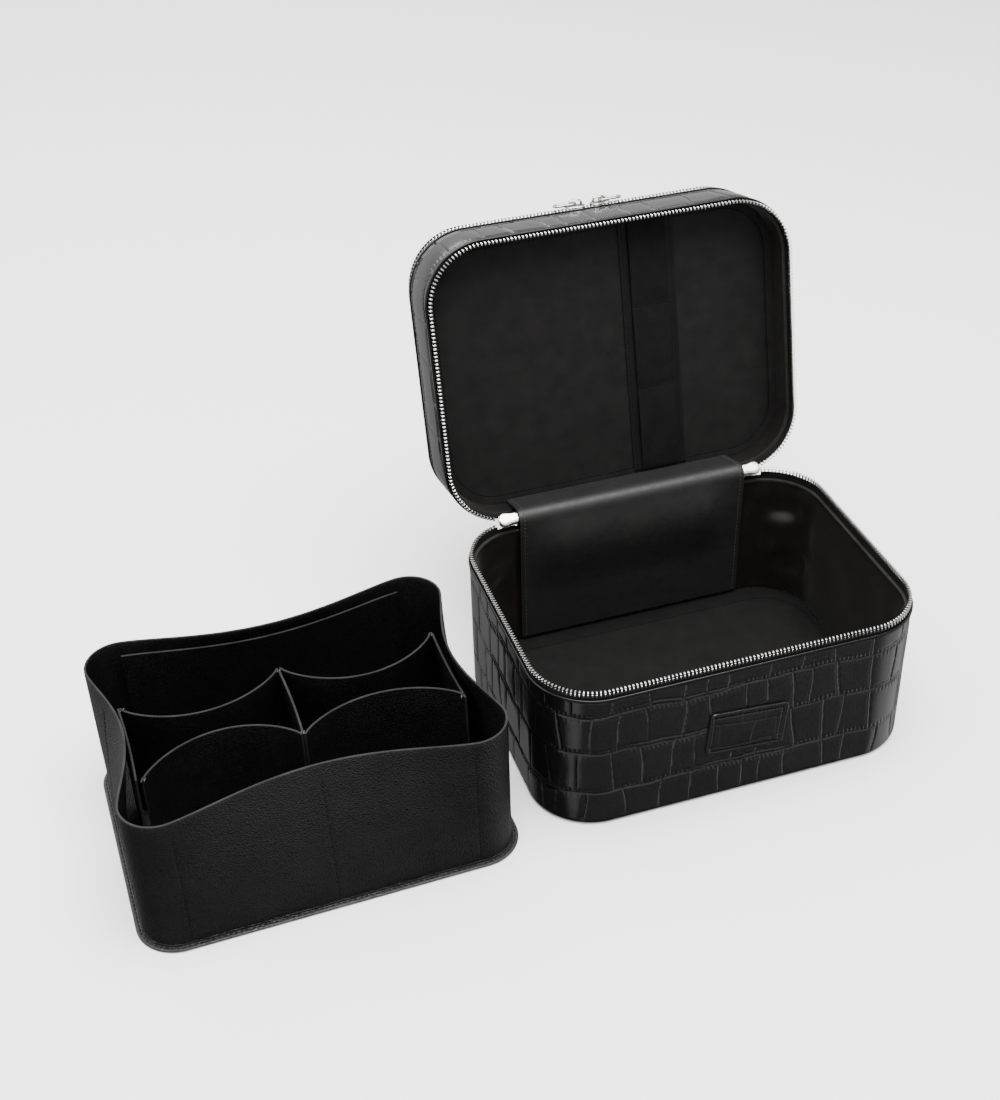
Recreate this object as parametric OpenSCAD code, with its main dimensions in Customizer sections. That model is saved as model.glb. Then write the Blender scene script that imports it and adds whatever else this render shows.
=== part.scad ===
// Makeup train case: a zip-round leather box with a two-part lid and a
// loose divider insert that stands beside it.
//
// Frame: +Z up, +X to the right as the open case faces its user, +Y to the
// back. The origin is the middle of the case's footprint on the table.
// The lid and all that rides on it are drawn shut and then swung open.

/* [Case] */
// Width of the case along its zip line
seam_w = 250; // [230:1:280]
// Depth of the case along its zip line
seam_d = 187; // [175:1:200]
// Corner radius of the zip line, seen from above
corner_r = 39; // [34:1:42]
// Height of the main zip above the table
seam_z = 106.5; // [100:0.5:120]
// Thickness of the wall boards
board_t = 2; // [1.5:0.1:2.5]
// Thickness of the outer leather
skin_t = 1.1; // [0.8:0.1:1.4]
// Thickness of the lining cloth
lining_t = 0.9; // [0.6:0.1:1.2]
// Thickness of the bottom board
base_t = 2.4; // [2:0.1:3]

/* [Lid] */
// How far the lid is swung open from shut, in degrees
lid_open = 103.2; // [95:0.1:108]
// Height of the lid's band from the main zip to the cover zip
band_h = 55; // [50:0.5:65]
// Width of the cover zip line
cover_w = 247; // [228:1:277]
// Depth of the cover zip line
cover_d = 188; // [175:1:201]
// Distance from the main zip up to the recessed inner panel
recess = 26; // [22:0.5:30]
// Thickness of the inner panel
panel_t = 2.5; // [2:0.1:3]
// Half the width of the leather hinge panel
hinge_half_w = 82; // [70:1:84]

/* [Zips] */
// Height of one row of zip teeth
tooth_h = 2.6; // [2.2:0.1:3]
// Thickness of the zip teeth across the tape
tooth_t = 2.2; // [1.8:0.1:2.4]
// Gap from the seam plane to each row, which clears the slider's post
tooth_gap = 0.7; // [0.6:0.05:1]
// Width of tape that shows between the teeth and the leather rim
tape_show = 2; // [1.5:0.1:3]
// Length of a slider
slider_l = 13; // [12:0.5:13.5]
// Height of a slider across the chain
slider_h = 9.2; // [8:0.1:9.2]
// Distance from the middle of the case to a main slider
main_slider_x = 88.8; // [88.6:0.1:89]
// Place of the left cover slider along the front
cover_slider_left_x = -5; // [-12:0.5:-3]
// Place of the right cover slider along the front
cover_slider_right_x = 12; // [10:0.5:20]
// Length of a pull link
pull_l = 15; // [12:0.5:16]

/* [Trim] */
// Width of the badge patch on the front
badge_w = 52.5; // [40:0.5:60]
// Height of the badge patch
badge_h = 33.5; // [25:0.5:40]
// Height of the badge's middle above the table
badge_z = 51; // [45:0.5:60]
// Slant of the badge, in degrees
badge_turn = 4.6; // [0:0.1:6]
// Width of the leather brush strap in the lid
strap_w = 38.5; // [30:0.5:45]
// Width of the elastic on the brush strap
elastic_w = 26.5; // [20:0.5:28]
// Offset of the brush strap to the right of the middle
strap_x = 32; // [0:0.5:50]

/* [Handle] */
// Distance between the two handle rings
handle_span = 96; // [80:1:110]
// How far the handle reaches from its rings' axis
handle_reach = 46; // [42:1:60]
// Radius of the leather grip
grip_r = 5; // [4:0.5:5.5]

/* [Insert] */
// Width of the insert over its flange
insert_w = 236; // [220:1:238]
// Depth of the insert over its flange
insert_d = 178; // [165:1:180]
// Height of the insert's outer wall
insert_h = 97; // [90:1:102]
// Height of the divider sheets
divider_h = 85; // [75:1:88]
// How far each outer wall bows inwards
wall_bow = 8; // [4:0.5:10]
// Thickness of the leatherette sheets
sheet_t = 1.4; // [1:0.1:1.8]
// Place of the insert's middle to the left of the case's middle
insert_x = -263; // [-280:1:-262]
// Place of the insert's middle in front of the case's middle
insert_y = -18; // [-40:1:0]
// Slant of the insert on the table, in degrees
insert_turn = 1.4; // [-3:0.1:3]

/* [Hidden] */
$fn = 96;

// Offsets from the zip line, outwards positive
board_out = 0.4;
board_in = board_out - board_t;
skin_in = 0.5;
skin_out = skin_in + skin_t;
welt_out = skin_out + 0.6;
lining_in = board_in - lining_t;
hem_in = lining_in - 0.1;
tape_out = 0.4;
tape_in = -0.5;

// Heights measured from the seam plane, the same below and above it
tooth_top = tooth_gap + tooth_h;
welt_near = tooth_top + tape_show;
welt_h = 2.2;
tape_far = 10.9;
board_near = 11;
hem_near = 8.3;
hem_h = 1.4;
// The tape is cut back beside the main sliders, which tilt with the lid
tape_notch = 5.7;
chain_end_x = 97;
tape_end_x = hinge_half_w + 2;

base_skin_t = 1.2;
base_top = base_skin_t + base_t;
floor_t = 2.8;
floor_w = 2 * (seam_w / 2 + lining_in - 4);
floor_front = 3.5;
floor_back = 14;
floor_r = 33;

// The lid swings on a line just inside the back of the zip
hinge_y = seam_d / 2 - 0.2;
panel_y = seam_d / 2 + lining_in - 2.1;
panel_leather_t = 1.8;
strip_t = 1.2;
strip_reach = 24;
strip_gap = 0.05;
fold_in = 2.6;
fold_out = hinge_y - panel_y;

// The cover lies above the cover zip, a little smaller than it
band_top = band_h - 6;
cover_in = 3;
cover_tape_h = 2.2;
cover_tape_fold = 0.3;
cover_board_t = 2;
cover_lining_t = 0.8;
cover_skin_t = 1.2;
cover_low = band_h + tooth_top + cover_tape_h;
cover_top = cover_low + cover_board_t + cover_skin_t;
cover_r = corner_r - 1;
band_tape_in = 0.45;
cover_chain_end_x = hinge_half_w + 14;

// The brush strap runs over the lid's panel from front to back
strap_t = 1.2;
strap_y0 = -seam_d / 2 - hem_in + 2;
strap_y1 = panel_y - 2;
binding_w = 5;
binding_t = 1;

// Slider: two plates that hold the chain, with a post and a crown
slot_half = tooth_t / 2 + 0.5;
plate_t = 1.1;
post_t = 0.9;
crown_x = 3.4;
crown_r = 0.6;
link_r = 0.7;
link_y = slot_half + plate_t + 1.3;
crown_y = link_y + link_r + crown_r + 0.2;
link_half_w = 1.7;

pivot_h = 6.5;
ring_bar_r = 1.5;
ring_bore_r = 1.58;
ring_half_w = 11;
ring_reach = 10;

// Insert, in its own frame before it is set down
flange_t = 1.6;
flange_in = 4;
insert_r = 26;
wall_a = insert_w / 2 - flange_in;
wall_b = insert_d / 2 - flange_in;
wall_r = insert_r - flange_in;
insert_base_t = 2.6;
node_x = 97;
back_node_y = 36;
front_node_y = -30;
divider_sag = 22;
pocket_h = 88;
tab_t = 1.2;
tab_y = 28;
tab_w = 18;
tab_h = 57;
steps = 16;

// ---------------------------------------------------------------- shapes

// A rectangle with round corners, from squares and circles
module rounded(w, d, r) {
  square([w - 2 * r, d], center = true);
  square([w, d - 2 * r], center = true);
  for (x = [-1, 1], y = [-1, 1])
    translate([x * (w / 2 - r), y * (d / 2 - r)])
      circle(r);
}

// The zip line's outline, grown outwards by o
module seam_outline(o) {
  rounded(seam_w + 2 * o, seam_d + 2 * o, corner_r + o);
}

// A wall between two offsets from the zip line
module seam_ring(inner, outer, z0, z1) {
  translate([0, 0, z0])
    linear_extrude(z1 - z0)
      difference() {
        seam_outline(outer);
        seam_outline(inner);
      }
}

// The cover zip's outline, grown outwards by o
module cover_outline(o) {
  rounded(cover_w + 2 * o, cover_d + 2 * o, cover_r + o);
}

module cover_ring(inner, outer, z0, z1) {
  translate([0, 0, z0])
    linear_extrude(z1 - z0)
      difference() {
        cover_outline(outer);
        cover_outline(inner);
      }
}

// Leaves out the middle of the back, up to half_w each side
module without_back(half_w, z0 = -1, z1 = 400) {
  difference() {
    children();
    translate([-half_w, seam_d / 4, z0])
      cube([2 * half_w, seam_d, z1 - z0]);
  }
}

// Swings the children about the lid's axis by a part of the opening
module swing(part) {
  translate([0, hinge_y, seam_z])
    rotate([-lid_open * part, 0, 0])
      translate([0, -hinge_y, -seam_z])
        children();
}

// Places something drawn on the shut lid, with z from the seam plane
module on_lid() {
  swing(1)
    translate([0, 0, seam_z])
      children();
}

// A straight round bar from a to b
module bar(a, b, r) {
  v = b - a;
  translate(a)
    rotate([0, acos(v[2] / norm(v)), atan2(v[1], v[0])])
      cylinder(r = r, h = norm(v));
}

// ---------------------------------------------------------------- body

module base_leather() {
  color("#1c1b1b")
    linear_extrude(base_skin_t)
      seam_outline(board_out);
}

module base_board() {
  color("#6b5a48")
    translate([0, 0, base_skin_t])
      linear_extrude(base_t)
        seam_outline(board_out);
}

module body_board() {
  color("#6b5a48")
    seam_ring(board_in, board_out, base_top, seam_z - board_near);
}

module body_leather() {
  color("#1c1b1b")
    seam_ring(skin_in, skin_out, 0.2, seam_z - welt_near - welt_h);
}

module body_rim_welt() {
  color("#121212")
    without_back(chain_end_x)
      seam_ring(skin_in, welt_out, seam_z - welt_near - welt_h,
                seam_z - welt_near);
}

module body_lining() {
  color("#2a241f")
    seam_ring(lining_in, board_in, base_top, seam_z - hem_near - hem_h);
}

module body_lining_hem() {
  color("#3b3632")
    without_back(tape_end_x)
      seam_ring(hem_in, tape_in, seam_z - hem_near - hem_h,
                seam_z - hem_near);
}

// The tape on one side of the main zip, drawn upwards from the seam
module main_tape() {
  without_back(tape_end_x)
    without_back(chain_end_x, -1, tape_notch)
      seam_ring(tape_in, tape_out, tooth_top, tape_far);
}

module main_chain() {
  without_back(chain_end_x)
    seam_ring(-tooth_t / 2, tooth_t / 2, tooth_gap, tooth_top);
}

module body_zip_tape() {
  color("#111111")
    translate([0, 0, seam_z])
      mirror([0, 0, 1])
        main_tape();
}

module body_zip_chain() {
  color("#b9b8b4")
    translate([0, 0, seam_z])
      mirror([0, 0, 1])
        main_chain();
}

module floor_panel() {
  depth = seam_d + 2 * lining_in - floor_front - floor_back;
  color("#1a1817")
    translate([0, (floor_front - floor_back) / 2, base_top])
      linear_extrude(floor_t)
        rounded(floor_w, depth, floor_r);
}

module hinge_panel() {
  color("#181818")
    translate([-hinge_half_w, panel_y, base_top])
      cube([2 * hinge_half_w, panel_leather_t, seam_z - base_top - 0.1]);
}

// The leather between the two panels, rolled over the swing axis
module hinge_fold() {
  color("#181818")
    translate([-hinge_half_w, hinge_y, seam_z])
      rotate([0, 90, 0])
        rotate([0, 0, -90])
          rotate_extrude(angle = -lid_open)
            translate([fold_in, 0])
              square([fold_out - fold_in, 2 * hinge_half_w]);
}

module back_strip(z0, z1) {
  y = seam_d / 2 + skin_out + strip_gap;
  translate([-hinge_half_w, y, z0])
    cube([2 * hinge_half_w, strip_t, z1 - z0]);
}

module back_hinge_strip() {
  color("#161616")
    back_strip(seam_z - strip_reach, seam_z - welt_near);
}

module badge_patch() {
  color("#232323")
    translate([1.7, -seam_d / 2 - skin_out, badge_z])
      rotate([0, badge_turn, 0])
        rotate([90, 0, 0])
          linear_extrude(1.6)
            rounded(badge_w, badge_h, 3);
}

// ---------------------------------------------------------------- lid

module lid_board() {
  color("#6b5a48")
    on_lid()
      seam_ring(board_in, board_out, board_near, band_top);
}

module lid_leather() {
  color("#1c1b1b")
    on_lid()
      seam_ring(skin_in, skin_out, welt_near + welt_h, band_top - welt_h);
}

module lid_rim_welt() {
  color("#121212")
    on_lid()
      without_back(chain_end_x)
        seam_ring(skin_in, welt_out, welt_near, welt_near + welt_h);
}

module lid_lining() {
  color("#2a241f")
    on_lid()
      seam_ring(lining_in, board_in, hem_near + hem_h, recess);
}

module lid_lining_hem() {
  color("#3b3632")
    on_lid()
      without_back(tape_end_x)
        seam_ring(hem_in, tape_in, hem_near, hem_near + hem_h);
}

module lid_zip_tape() {
  color("#111111")
    on_lid()
      main_tape();
}

module lid_zip_chain() {
  color("#b9b8b4")
    on_lid()
      main_chain();
}

module lid_hinge_panel() {
  color("#181818")
    on_lid()
      translate([-hinge_half_w, panel_y, 0.1])
        cube([2 * hinge_half_w, panel_leather_t, recess - binding_t - 0.3]);
}

module lid_back_strip() {
  color("#161616")
    on_lid()
      back_strip(welt_near + 1, strip_reach);
}

module lid_panel() {
  color("#15130f")
    on_lid()
      translate([0, 0, recess])
        linear_extrude(panel_t)
          seam_outline(board_in - strip_gap);
}

module lid_panel_binding() {
  color("#1d1b18")
    on_lid()
      difference() {
        seam_ring(hem_in - binding_w, hem_in, recess - binding_t, recess);
        translate([strap_x - strap_w / 2 - 0.1, -seam_d, 0])
          cube([strap_w + 0.2, 2 * seam_d, recess + 1]);
      }
}

module brush_strap() {
  color("#201e1b")
    on_lid()
      translate([strap_x - strap_w / 2, strap_y0, recess - strap_t])
        cube([strap_w, strap_y1 - strap_y0, strap_t]);
}

module brush_elastic() {
  color("#0f0f0f")
    on_lid()
      translate([strap_x - elastic_w / 2, strap_y0, recess - 2 * strap_t])
        cube([elastic_w, strap_y1 - strap_y0, strap_t]);
}

module pocket_lining() {
  color("#2a241f")
    on_lid()
      seam_ring(lining_in, board_in, recess + panel_t, band_top);
}

module band_top_welt() {
  color("#121212")
    on_lid()
      seam_ring(skin_in, skin_out + 0.4, band_top - welt_h, band_top);
}

module band_zip_tape() {
  color("#111111")
    on_lid()
      without_back(tape_end_x)
        cover_ring(-band_tape_in, band_tape_in, band_top,
                   band_h - tooth_top);
}

module band_zip_chain() {
  color("#b9b8b4")
    on_lid()
      without_back(cover_chain_end_x)
        cover_ring(-tooth_t / 2, tooth_t / 2, band_h - tooth_top,
                   band_h - tooth_gap);
}

// End clamps where the cover zip stops at its hinge
module band_zip_stops() {
  color("#c9c8c4")
    on_lid()
      for (side = [-1, 1])
        translate([side * (tape_end_x + 0.8) - 0.8, cover_d / 2 - 1.3,
                   band_h - tooth_top])
          cube([1.6, 2.6, tooth_h]);
}

// ---------------------------------------------------------------- cover

module cover_zip_chain() {
  color("#b9b8b4")
    on_lid()
      without_back(cover_chain_end_x)
        cover_ring(-tooth_t / 2, tooth_t / 2, band_h + tooth_gap,
                   band_h + tooth_top);
}

module cover_zip_tape() {
  color("#111111")
    on_lid()
      without_back(tape_end_x) {
        cover_ring(-band_tape_in, band_tape_in, band_h + tooth_top,
                   cover_low);
        cover_ring(-band_tape_in - cover_in, band_tape_in,
                   cover_low - cover_tape_fold, cover_low);
      }
}

module cover_welt() {
  color("#121212")
    on_lid()
      cover_ring(-cover_in - 1.2, -cover_in + 0.8, cover_low,
                 cover_low + cover_board_t);
}

module cover_board() {
  color("#6b5a48")
    on_lid()
      translate([0, 0, cover_low])
        linear_extrude(cover_board_t)
          cover_outline(-cover_in - 1.2);
}

module cover_leather() {
  color("#1c1b1b")
    on_lid()
      translate([0, 0, cover_low + cover_board_t])
        linear_extrude(cover_skin_t)
          cover_outline(-cover_in);
}

module cover_lining() {
  color("#2a241f")
    on_lid()
      translate([0, 0, cover_low - cover_lining_t])
        linear_extrude(cover_lining_t)
          cover_outline(-cover_in - 1.5);
}

// ---------------------------------------------------------------- handle

// A leather keeper whose tunnel holds a ring's bar
module chape() {
  difference() {
    union() {
      translate([-8, -14, 0])
        cube([16, 28, 1.4]);
      translate([-8, -3.4, 0])
        cube([16, 6.8, pivot_h]);
      translate([-8, 0, pivot_h])
        rotate([0, 90, 0])
          cylinder(r = 3.4, h = 16);
    }
    translate([-9, 0, pivot_h])
      rotate([0, 90, 0])
        cylinder(r = ring_bore_r, h = 18);
  }
}

module handle_chapes() {
  color("#191919")
    on_lid()
      for (side = [-1, 1])
        translate([side * handle_span / 2, 0, cover_top])
          chape();
}

module chape_rivets() {
  color("#c9c8c4")
    on_lid()
      for (side = [-1, 1], end = [-1, 1])
        translate([side * handle_span / 2, end * 10.5, cover_top + 1.4])
          cylinder(r1 = 2.5, r2 = 1.8, h = 0.8);
}

// A rectangular wire ring that lies flat, with one bar on the axis
module ring() {
  a = [-ring_half_w, 0, 0];
  b = [ring_half_w, 0, 0];
  c = [ring_half_w, ring_reach, 0];
  d = [-ring_half_w, ring_reach, 0];
  bar(a, b, ring_bar_r);
  bar(b, c, ring_bar_r);
  bar(d, c, ring_bar_r);
  bar(a, d, ring_bar_r);
  for (p = [a, b, c, d])
    translate(p)
      sphere(ring_bar_r);
}

module handle_rings() {
  color("#c9c8c4")
    on_lid()
      for (side = [-1, 1])
        translate([side * handle_span / 2, 0, cover_top + pivot_h])
          ring();
}

// The grip, lying flat with a loop round each ring's outer bar
module carry_handle() {
  bend = 14;
  arm_y = ring_reach + 8;
  x = handle_span / 2;
  color("#191919")
    on_lid()
      translate([0, 0, cover_top + pivot_h]) {
        bar([-(x - bend), handle_reach, 0], [x - bend, handle_reach, 0],
            grip_r);
        for (side = [-1, 1])
          mirror([side < 0 ? 1 : 0, 0, 0]) {
            translate([x - bend, handle_reach - bend, 0])
              rotate_extrude(angle = 90)
                translate([bend, 0])
                  circle(grip_r);
            bar([x, arm_y, 0], [x, handle_reach - bend, 0], grip_r);
            difference() {
              union() {
                translate([x - 7, ring_reach, -3.6])
                  cube([14, arm_y - ring_reach + 1, 7.2]);
                translate([x - 7, ring_reach, 0])
                  rotate([0, 90, 0])
                    cylinder(r = 3.6, h = 14);
              }
              translate([x - 8, ring_reach, 0])
                rotate([0, 90, 0])
                  cylinder(r = ring_bar_r + 0.05, h = 16);
            }
          }
      }
}

// ---------------------------------------------------------------- sliders

// A slider on a chain along X, with its crown towards +Y. The wide end,
// where the two rows part, points along +X.
module slider() {
  wide = 0.42 * slider_l;
  for (side = [-1, 1])
    translate([0, side * (slot_half + plate_t / 2), 0])
      rotate([90, 0, 0])
        translate([0, 0, -plate_t / 2])
          linear_extrude(plate_t) {
            translate([-slider_l / 2, -slider_h * 0.4])
              square([slider_l - wide / 2, slider_h * 0.8]);
            translate([slider_l / 2 - wide, 0])
              circle(slider_h / 2);
            translate([slider_l / 2 - wide, -slider_h * 0.36])
              square([wide, slider_h * 0.72]);
          }
  translate([slider_l / 2 - 3, -slot_half - 0.2, -post_t / 2])
    cube([2.6, 2 * slot_half + 0.4, post_t]);
  top = slot_half + plate_t - 0.2;
  for (x = [-crown_x, crown_x]) {
    bar([x, top, 0], [x, crown_y, 0], crown_r);
    translate([x, crown_y, 0])
      sphere(crown_r);
  }
  bar([-crown_x, crown_y, 0], [crown_x, crown_y, 0], crown_r);
}

// A long wire link threaded under the crown, lying along +X
module pull_link() {
  far = pull_l - 2 * link_half_w;
  translate([0, link_y, 0])
    rotate([-90, 0, 0])
      translate([link_half_w, 0, 0]) {
        rotate([0, 0, 90])
          rotate_extrude(angle = 180)
            translate([link_half_w, 0])
              circle(link_r);
        translate([far, 0, 0])
          rotate([0, 0, -90])
            rotate_extrude(angle = 180)
              translate([link_half_w, 0])
                circle(link_r);
        for (s = [-1, 1])
          bar([0, s * link_half_w, 0], [far, s * link_half_w, 0], link_r);
      }
}

// Sets a slider or pull on the back run of the main zip; side -1 is left
module on_main_zip(side) {
  swing(0.5)
    translate([side * main_slider_x, hinge_y, seam_z])
      mirror([side < 0 ? 1 : 0, 0, 0])
        children();
}

// Sets a slider or pull on the front run of the cover zip; the wide end
// points at the middle and the pull points away from it
module on_cover_zip(x, side) {
  on_lid()
    translate([x, -cover_d / 2, band_h])
      mirror([side > 0 ? 1 : 0, 0, 0])
        mirror([0, 1, 0])
          children();
}

module main_slider_left() {
  color("#d8d7d2") on_main_zip(-1) slider();
}

module main_slider_right() {
  color("#d8d7d2") on_main_zip(1) slider();
}

// The pull hangs straight out of the groove between the two rims
module hanging_pull() {
  translate([0, link_y, 0])
    rotate([0, 0, 90])
      translate([0, -link_y, 0])
        pull_link();
}

module main_pull_left() {
  color("#d8d7d2") on_main_zip(-1) hanging_pull();
}

module main_pull_right() {
  color("#d8d7d2") on_main_zip(1) hanging_pull();
}

module cover_slider_left() {
  color("#d8d7d2") on_cover_zip(cover_slider_left_x, -1) slider();
}

module cover_slider_right() {
  color("#d8d7d2") on_cover_zip(cover_slider_right_x, 1) slider();
}

module cover_pull_left() {
  color("#d8d7d2")
    on_cover_zip(cover_slider_left_x, -1) mirror([1, 0, 0]) pull_link();
}

module cover_pull_right() {
  color("#d8d7d2")
    on_cover_zip(cover_slider_right_x, 1) mirror([1, 0, 0]) pull_link();
}

// ---------------------------------------------------------------- insert

module on_table() {
  translate([insert_x, insert_y, 0])
    rotate([0, 0, insert_turn])
      children();
}

// One quarter of the outer wall's plan: half a bowed side along x, a
// round corner, and half a bowed side along y, moved inwards by o
function quarter(o) =
  let (sx = wall_a - wall_r, sy = wall_b - wall_r)
  concat(
    [for (i = [0:steps - 1])
      let (u = i / steps)
      [u * sx, wall_b - o - wall_bow * (1 - u * u) ^ 2]],
    [for (i = [0:steps])
      let (a = 90 - 90 * i / steps)
      [sx + (wall_r - o) * cos(a), sy + (wall_r - o) * sin(a)]],
    [for (i = [steps - 1:-1:0])
      let (u = i / steps)
      [wall_a - o - wall_bow * (1 - u * u) ^ 2, u * sy]]
  );

function mirrored(points, sx, sy, backwards) =
  let (n = len(points))
  [for (i = [0:n - 1])
    let (p = points[backwards ? n - 1 - i : i])
    [p[0] * sx, p[1] * sy]];

module wall_plan(o) {
  q = quarter(o);
  polygon(concat(q, mirrored(q, 1, -1, true), mirrored(q, -1, -1, false),
                 mirrored(q, -1, 1, true)));
}

// A strip of even thickness along points that run from low x to high x
module strip(points, t) {
  n = len(points);
  upper = [for (p = points) [p[0], p[1] + t / 2]];
  lower = [for (i = [n - 1:-1:0]) [points[i][0], points[i][1] - t / 2]];
  polygon(concat(upper, lower));
}

// A sheet's plan from one seam to another, sagging by s between them
function sag_line(a, b, s) =
  [for (i = [0:steps])
    let (u = i / steps)
    [a[0] + (b[0] - a[0]) * u,
     a[1] + (b[1] - a[1]) * u + s * (1 - (2 * u - 1) ^ 2) ^ 0.8]];

module insert_base() {
  color("#1b1b1b")
    on_table()
      linear_extrude(insert_base_t)
        rounded(insert_w - 2 * flange_in + 2, insert_d - 2 * flange_in + 2,
                insert_r - flange_in + 1);
}

module insert_flange() {
  color("#77767a")
    on_table()
      linear_extrude(flange_t)
        difference() {
          rounded(insert_w, insert_d, insert_r);
          rounded(insert_w - 2 * flange_in + 2,
                  insert_d - 2 * flange_in + 2, insert_r - flange_in + 1);
        }
}

module insert_wall() {
  color("#2d2d2e")
    on_table()
      translate([0, 0, insert_base_t])
        linear_extrude(insert_h - insert_base_t)
          difference() {
            wall_plan(0);
            wall_plan(sheet_t);
          }
}

// A pocket panel sewn inside a long wall; side 1 is the back
module pocket(side) {
  half = wall_a - wall_r - 2;
  sx = wall_a - wall_r;
  o = 2 * sheet_t + 0.6;
  line = [for (i = [-steps:steps])
    let (u = i / steps)
    [u * half,
     side * (wall_b - o - wall_bow * (1 - (u * half / sx) ^ 2) ^ 2)]];
  translate([0, 0, insert_base_t])
    linear_extrude(pocket_h - insert_base_t)
      strip(line, sheet_t);
}

module insert_back_pocket() {
  color("#252526") on_table() pocket(1);
}

module insert_front_pocket() {
  color("#252526") on_table() pocket(-1);
}

module sheets(y, sag) {
  gap = sheet_t / 2 + 0.2;
  translate([0, 0, insert_base_t])
    linear_extrude(divider_h - insert_base_t) {
      strip(sag_line([-node_x, y], [-gap, y], sag), sheet_t);
      strip(sag_line([gap, y], [node_x, y], sag), sheet_t);
    }
}

module back_dividers() {
  color("#28282a") on_table() sheets(back_node_y, -divider_sag);
}

module front_dividers() {
  color("#28282a") on_table() sheets(front_node_y, divider_sag);
}

module side_dividers() {
  length = back_node_y - front_node_y + sheet_t;
  color("#28282a")
    on_table()
      for (side = [-1, 1])
        translate([side * (node_x + sheet_t / 2 + 0.2) - sheet_t / 2,
                   front_node_y - sheet_t / 2, insert_base_t])
          cube([sheet_t, length, divider_h - insert_base_t]);
}

module centre_divider() {
  y0 = front_node_y + sheet_t / 2 + 0.4;
  y1 = back_node_y - sheet_t / 2 - 0.4;
  color("#28282a")
    on_table()
      translate([-sheet_t / 2, y0, insert_base_t])
        cube([sheet_t, y1 - y0, divider_h - insert_base_t]);
}

// Where the wall's two ends overlap, outside the right wall
module wall_seam_tab() {
  color("#3a3a3c")
    on_table()
      translate([0, 0, insert_base_t])
        linear_extrude(tab_h)
          intersection() {
            difference() {
              wall_plan(-tab_t - strip_gap);
              wall_plan(-strip_gap);
            }
            translate([0, tab_y])
              square([insert_w, tab_w]);
          }
}

// ---------------------------------------------------------------- parts

base_leather();
base_board();
body_board();
body_leather();
body_rim_welt();
body_lining();
body_lining_hem();
body_zip_tape();
body_zip_chain();
floor_panel();
hinge_panel();
hinge_fold();
back_hinge_strip();
badge_patch();
lid_board();
lid_leather();
lid_rim_welt();
lid_lining();
lid_lining_hem();
lid_zip_tape();
lid_zip_chain();
lid_hinge_panel();
lid_back_strip();
lid_panel();
lid_panel_binding();
brush_strap();
brush_elastic();
pocket_lining();
band_top_welt();
band_zip_tape();
band_zip_chain();
band_zip_stops();
cover_zip_chain();
cover_zip_tape();
cover_welt();
cover_board();
cover_leather();
cover_lining();
handle_chapes();
chape_rivets();
handle_rings();
carry_handle();
main_slider_left();
main_slider_right();
main_pull_left();
main_pull_right();
cover_slider_left();
cover_slider_right();
cover_pull_left();
cover_pull_right();
insert_base();
insert_flange();
insert_wall();
insert_back_pocket();
insert_front_pocket();
back_dividers();
front_dividers();
side_dividers();
centre_divider();
wall_seam_tab();
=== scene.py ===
"""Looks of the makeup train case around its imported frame."""

import math

import bpy
import numpy as np
from mathutils import Matrix, Vector


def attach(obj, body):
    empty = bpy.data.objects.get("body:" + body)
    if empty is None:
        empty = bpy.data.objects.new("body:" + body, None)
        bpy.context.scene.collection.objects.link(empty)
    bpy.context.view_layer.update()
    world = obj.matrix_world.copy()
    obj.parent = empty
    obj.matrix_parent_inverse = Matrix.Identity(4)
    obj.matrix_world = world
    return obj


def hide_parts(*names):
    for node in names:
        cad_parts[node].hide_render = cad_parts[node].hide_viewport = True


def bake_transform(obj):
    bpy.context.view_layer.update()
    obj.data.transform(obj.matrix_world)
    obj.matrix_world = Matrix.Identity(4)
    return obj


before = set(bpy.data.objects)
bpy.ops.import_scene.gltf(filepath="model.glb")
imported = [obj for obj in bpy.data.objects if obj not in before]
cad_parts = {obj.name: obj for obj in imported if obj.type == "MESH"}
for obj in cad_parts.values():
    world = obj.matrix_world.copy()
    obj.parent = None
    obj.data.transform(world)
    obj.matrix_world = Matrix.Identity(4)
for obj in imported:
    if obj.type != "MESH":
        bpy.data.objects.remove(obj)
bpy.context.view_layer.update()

# ------------------------------------------------------------ dimensions, mm
SEAM_W, SEAM_D, CORNER_R, SEAM_Z = 250.0, 187.0, 39.0, 106.5
LID_OPEN = math.radians(103.2)
HINGE_Y = 93.3
HINGE_HALF, HINGE_BELLY = 82.0, 4.6
PANEL_Y, PANEL_T = 88.9, 1.8
RECESS = 26.0
BAND_H = 55.0
BAND_TOP = 49.0
COVER_W, COVER_D, COVER_R = 247.0, 188.0, 38.0
COVER_LOW, COVER_TOP = 60.5, 63.7
COVER_IN = 3.0
BASE_TOP = 3.6
PITCH = 2.5
WELT_NEAR, WELT_H = 5.3, 2.2
SKIN_IN, SKIN_OUT = 0.5, 1.6
BOARD_IN = -1.6
WELT_END, CHAIN_END = 97.0, 96.0
MAIN_SLIDER_X = 88.8
LINK_Y = 4.0
COVER_SLIDERS = {"left": -5.0, "right": 12.0}
SIDES = (("left", -1), ("right", 1))
STRAP_X, STRAP_W, ELASTIC_W, STRAP_T = 32.0, 38.5, 26.5, 1.2
INSERT = (-263.0, -18.0, math.radians(1.4))
WALL_A, WALL_B, WALL_R = 114.0, 85.0, 22.0
INSERT_BASE_T = 2.6
SHEET_T = 1.4
HANDLE_SPAN, HANDLE_REACH = 96.0, 46.0
RING_Z, RING_REACH = 6.5, 10.0
BOWS = (16.0, 13.0, 16.5, 13.0)
TOP_Z, SHEET_TOP = 96.6, 85.0
EMBOSS_STEP = 0.6
LINING_TOP = SEAM_Z - 8.4
FLOOR_IN, FLOOR_GAP, FLOOR_Y, FLOOR_R = 6.5, 22.5, -5.25, 33.0
BADGE_W, BADGE_H, BADGE_RISE = 52.5, 33.5, 1.6
STRAP_Y = (-88.9, -29.0, 28.5, 86.9)
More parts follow.
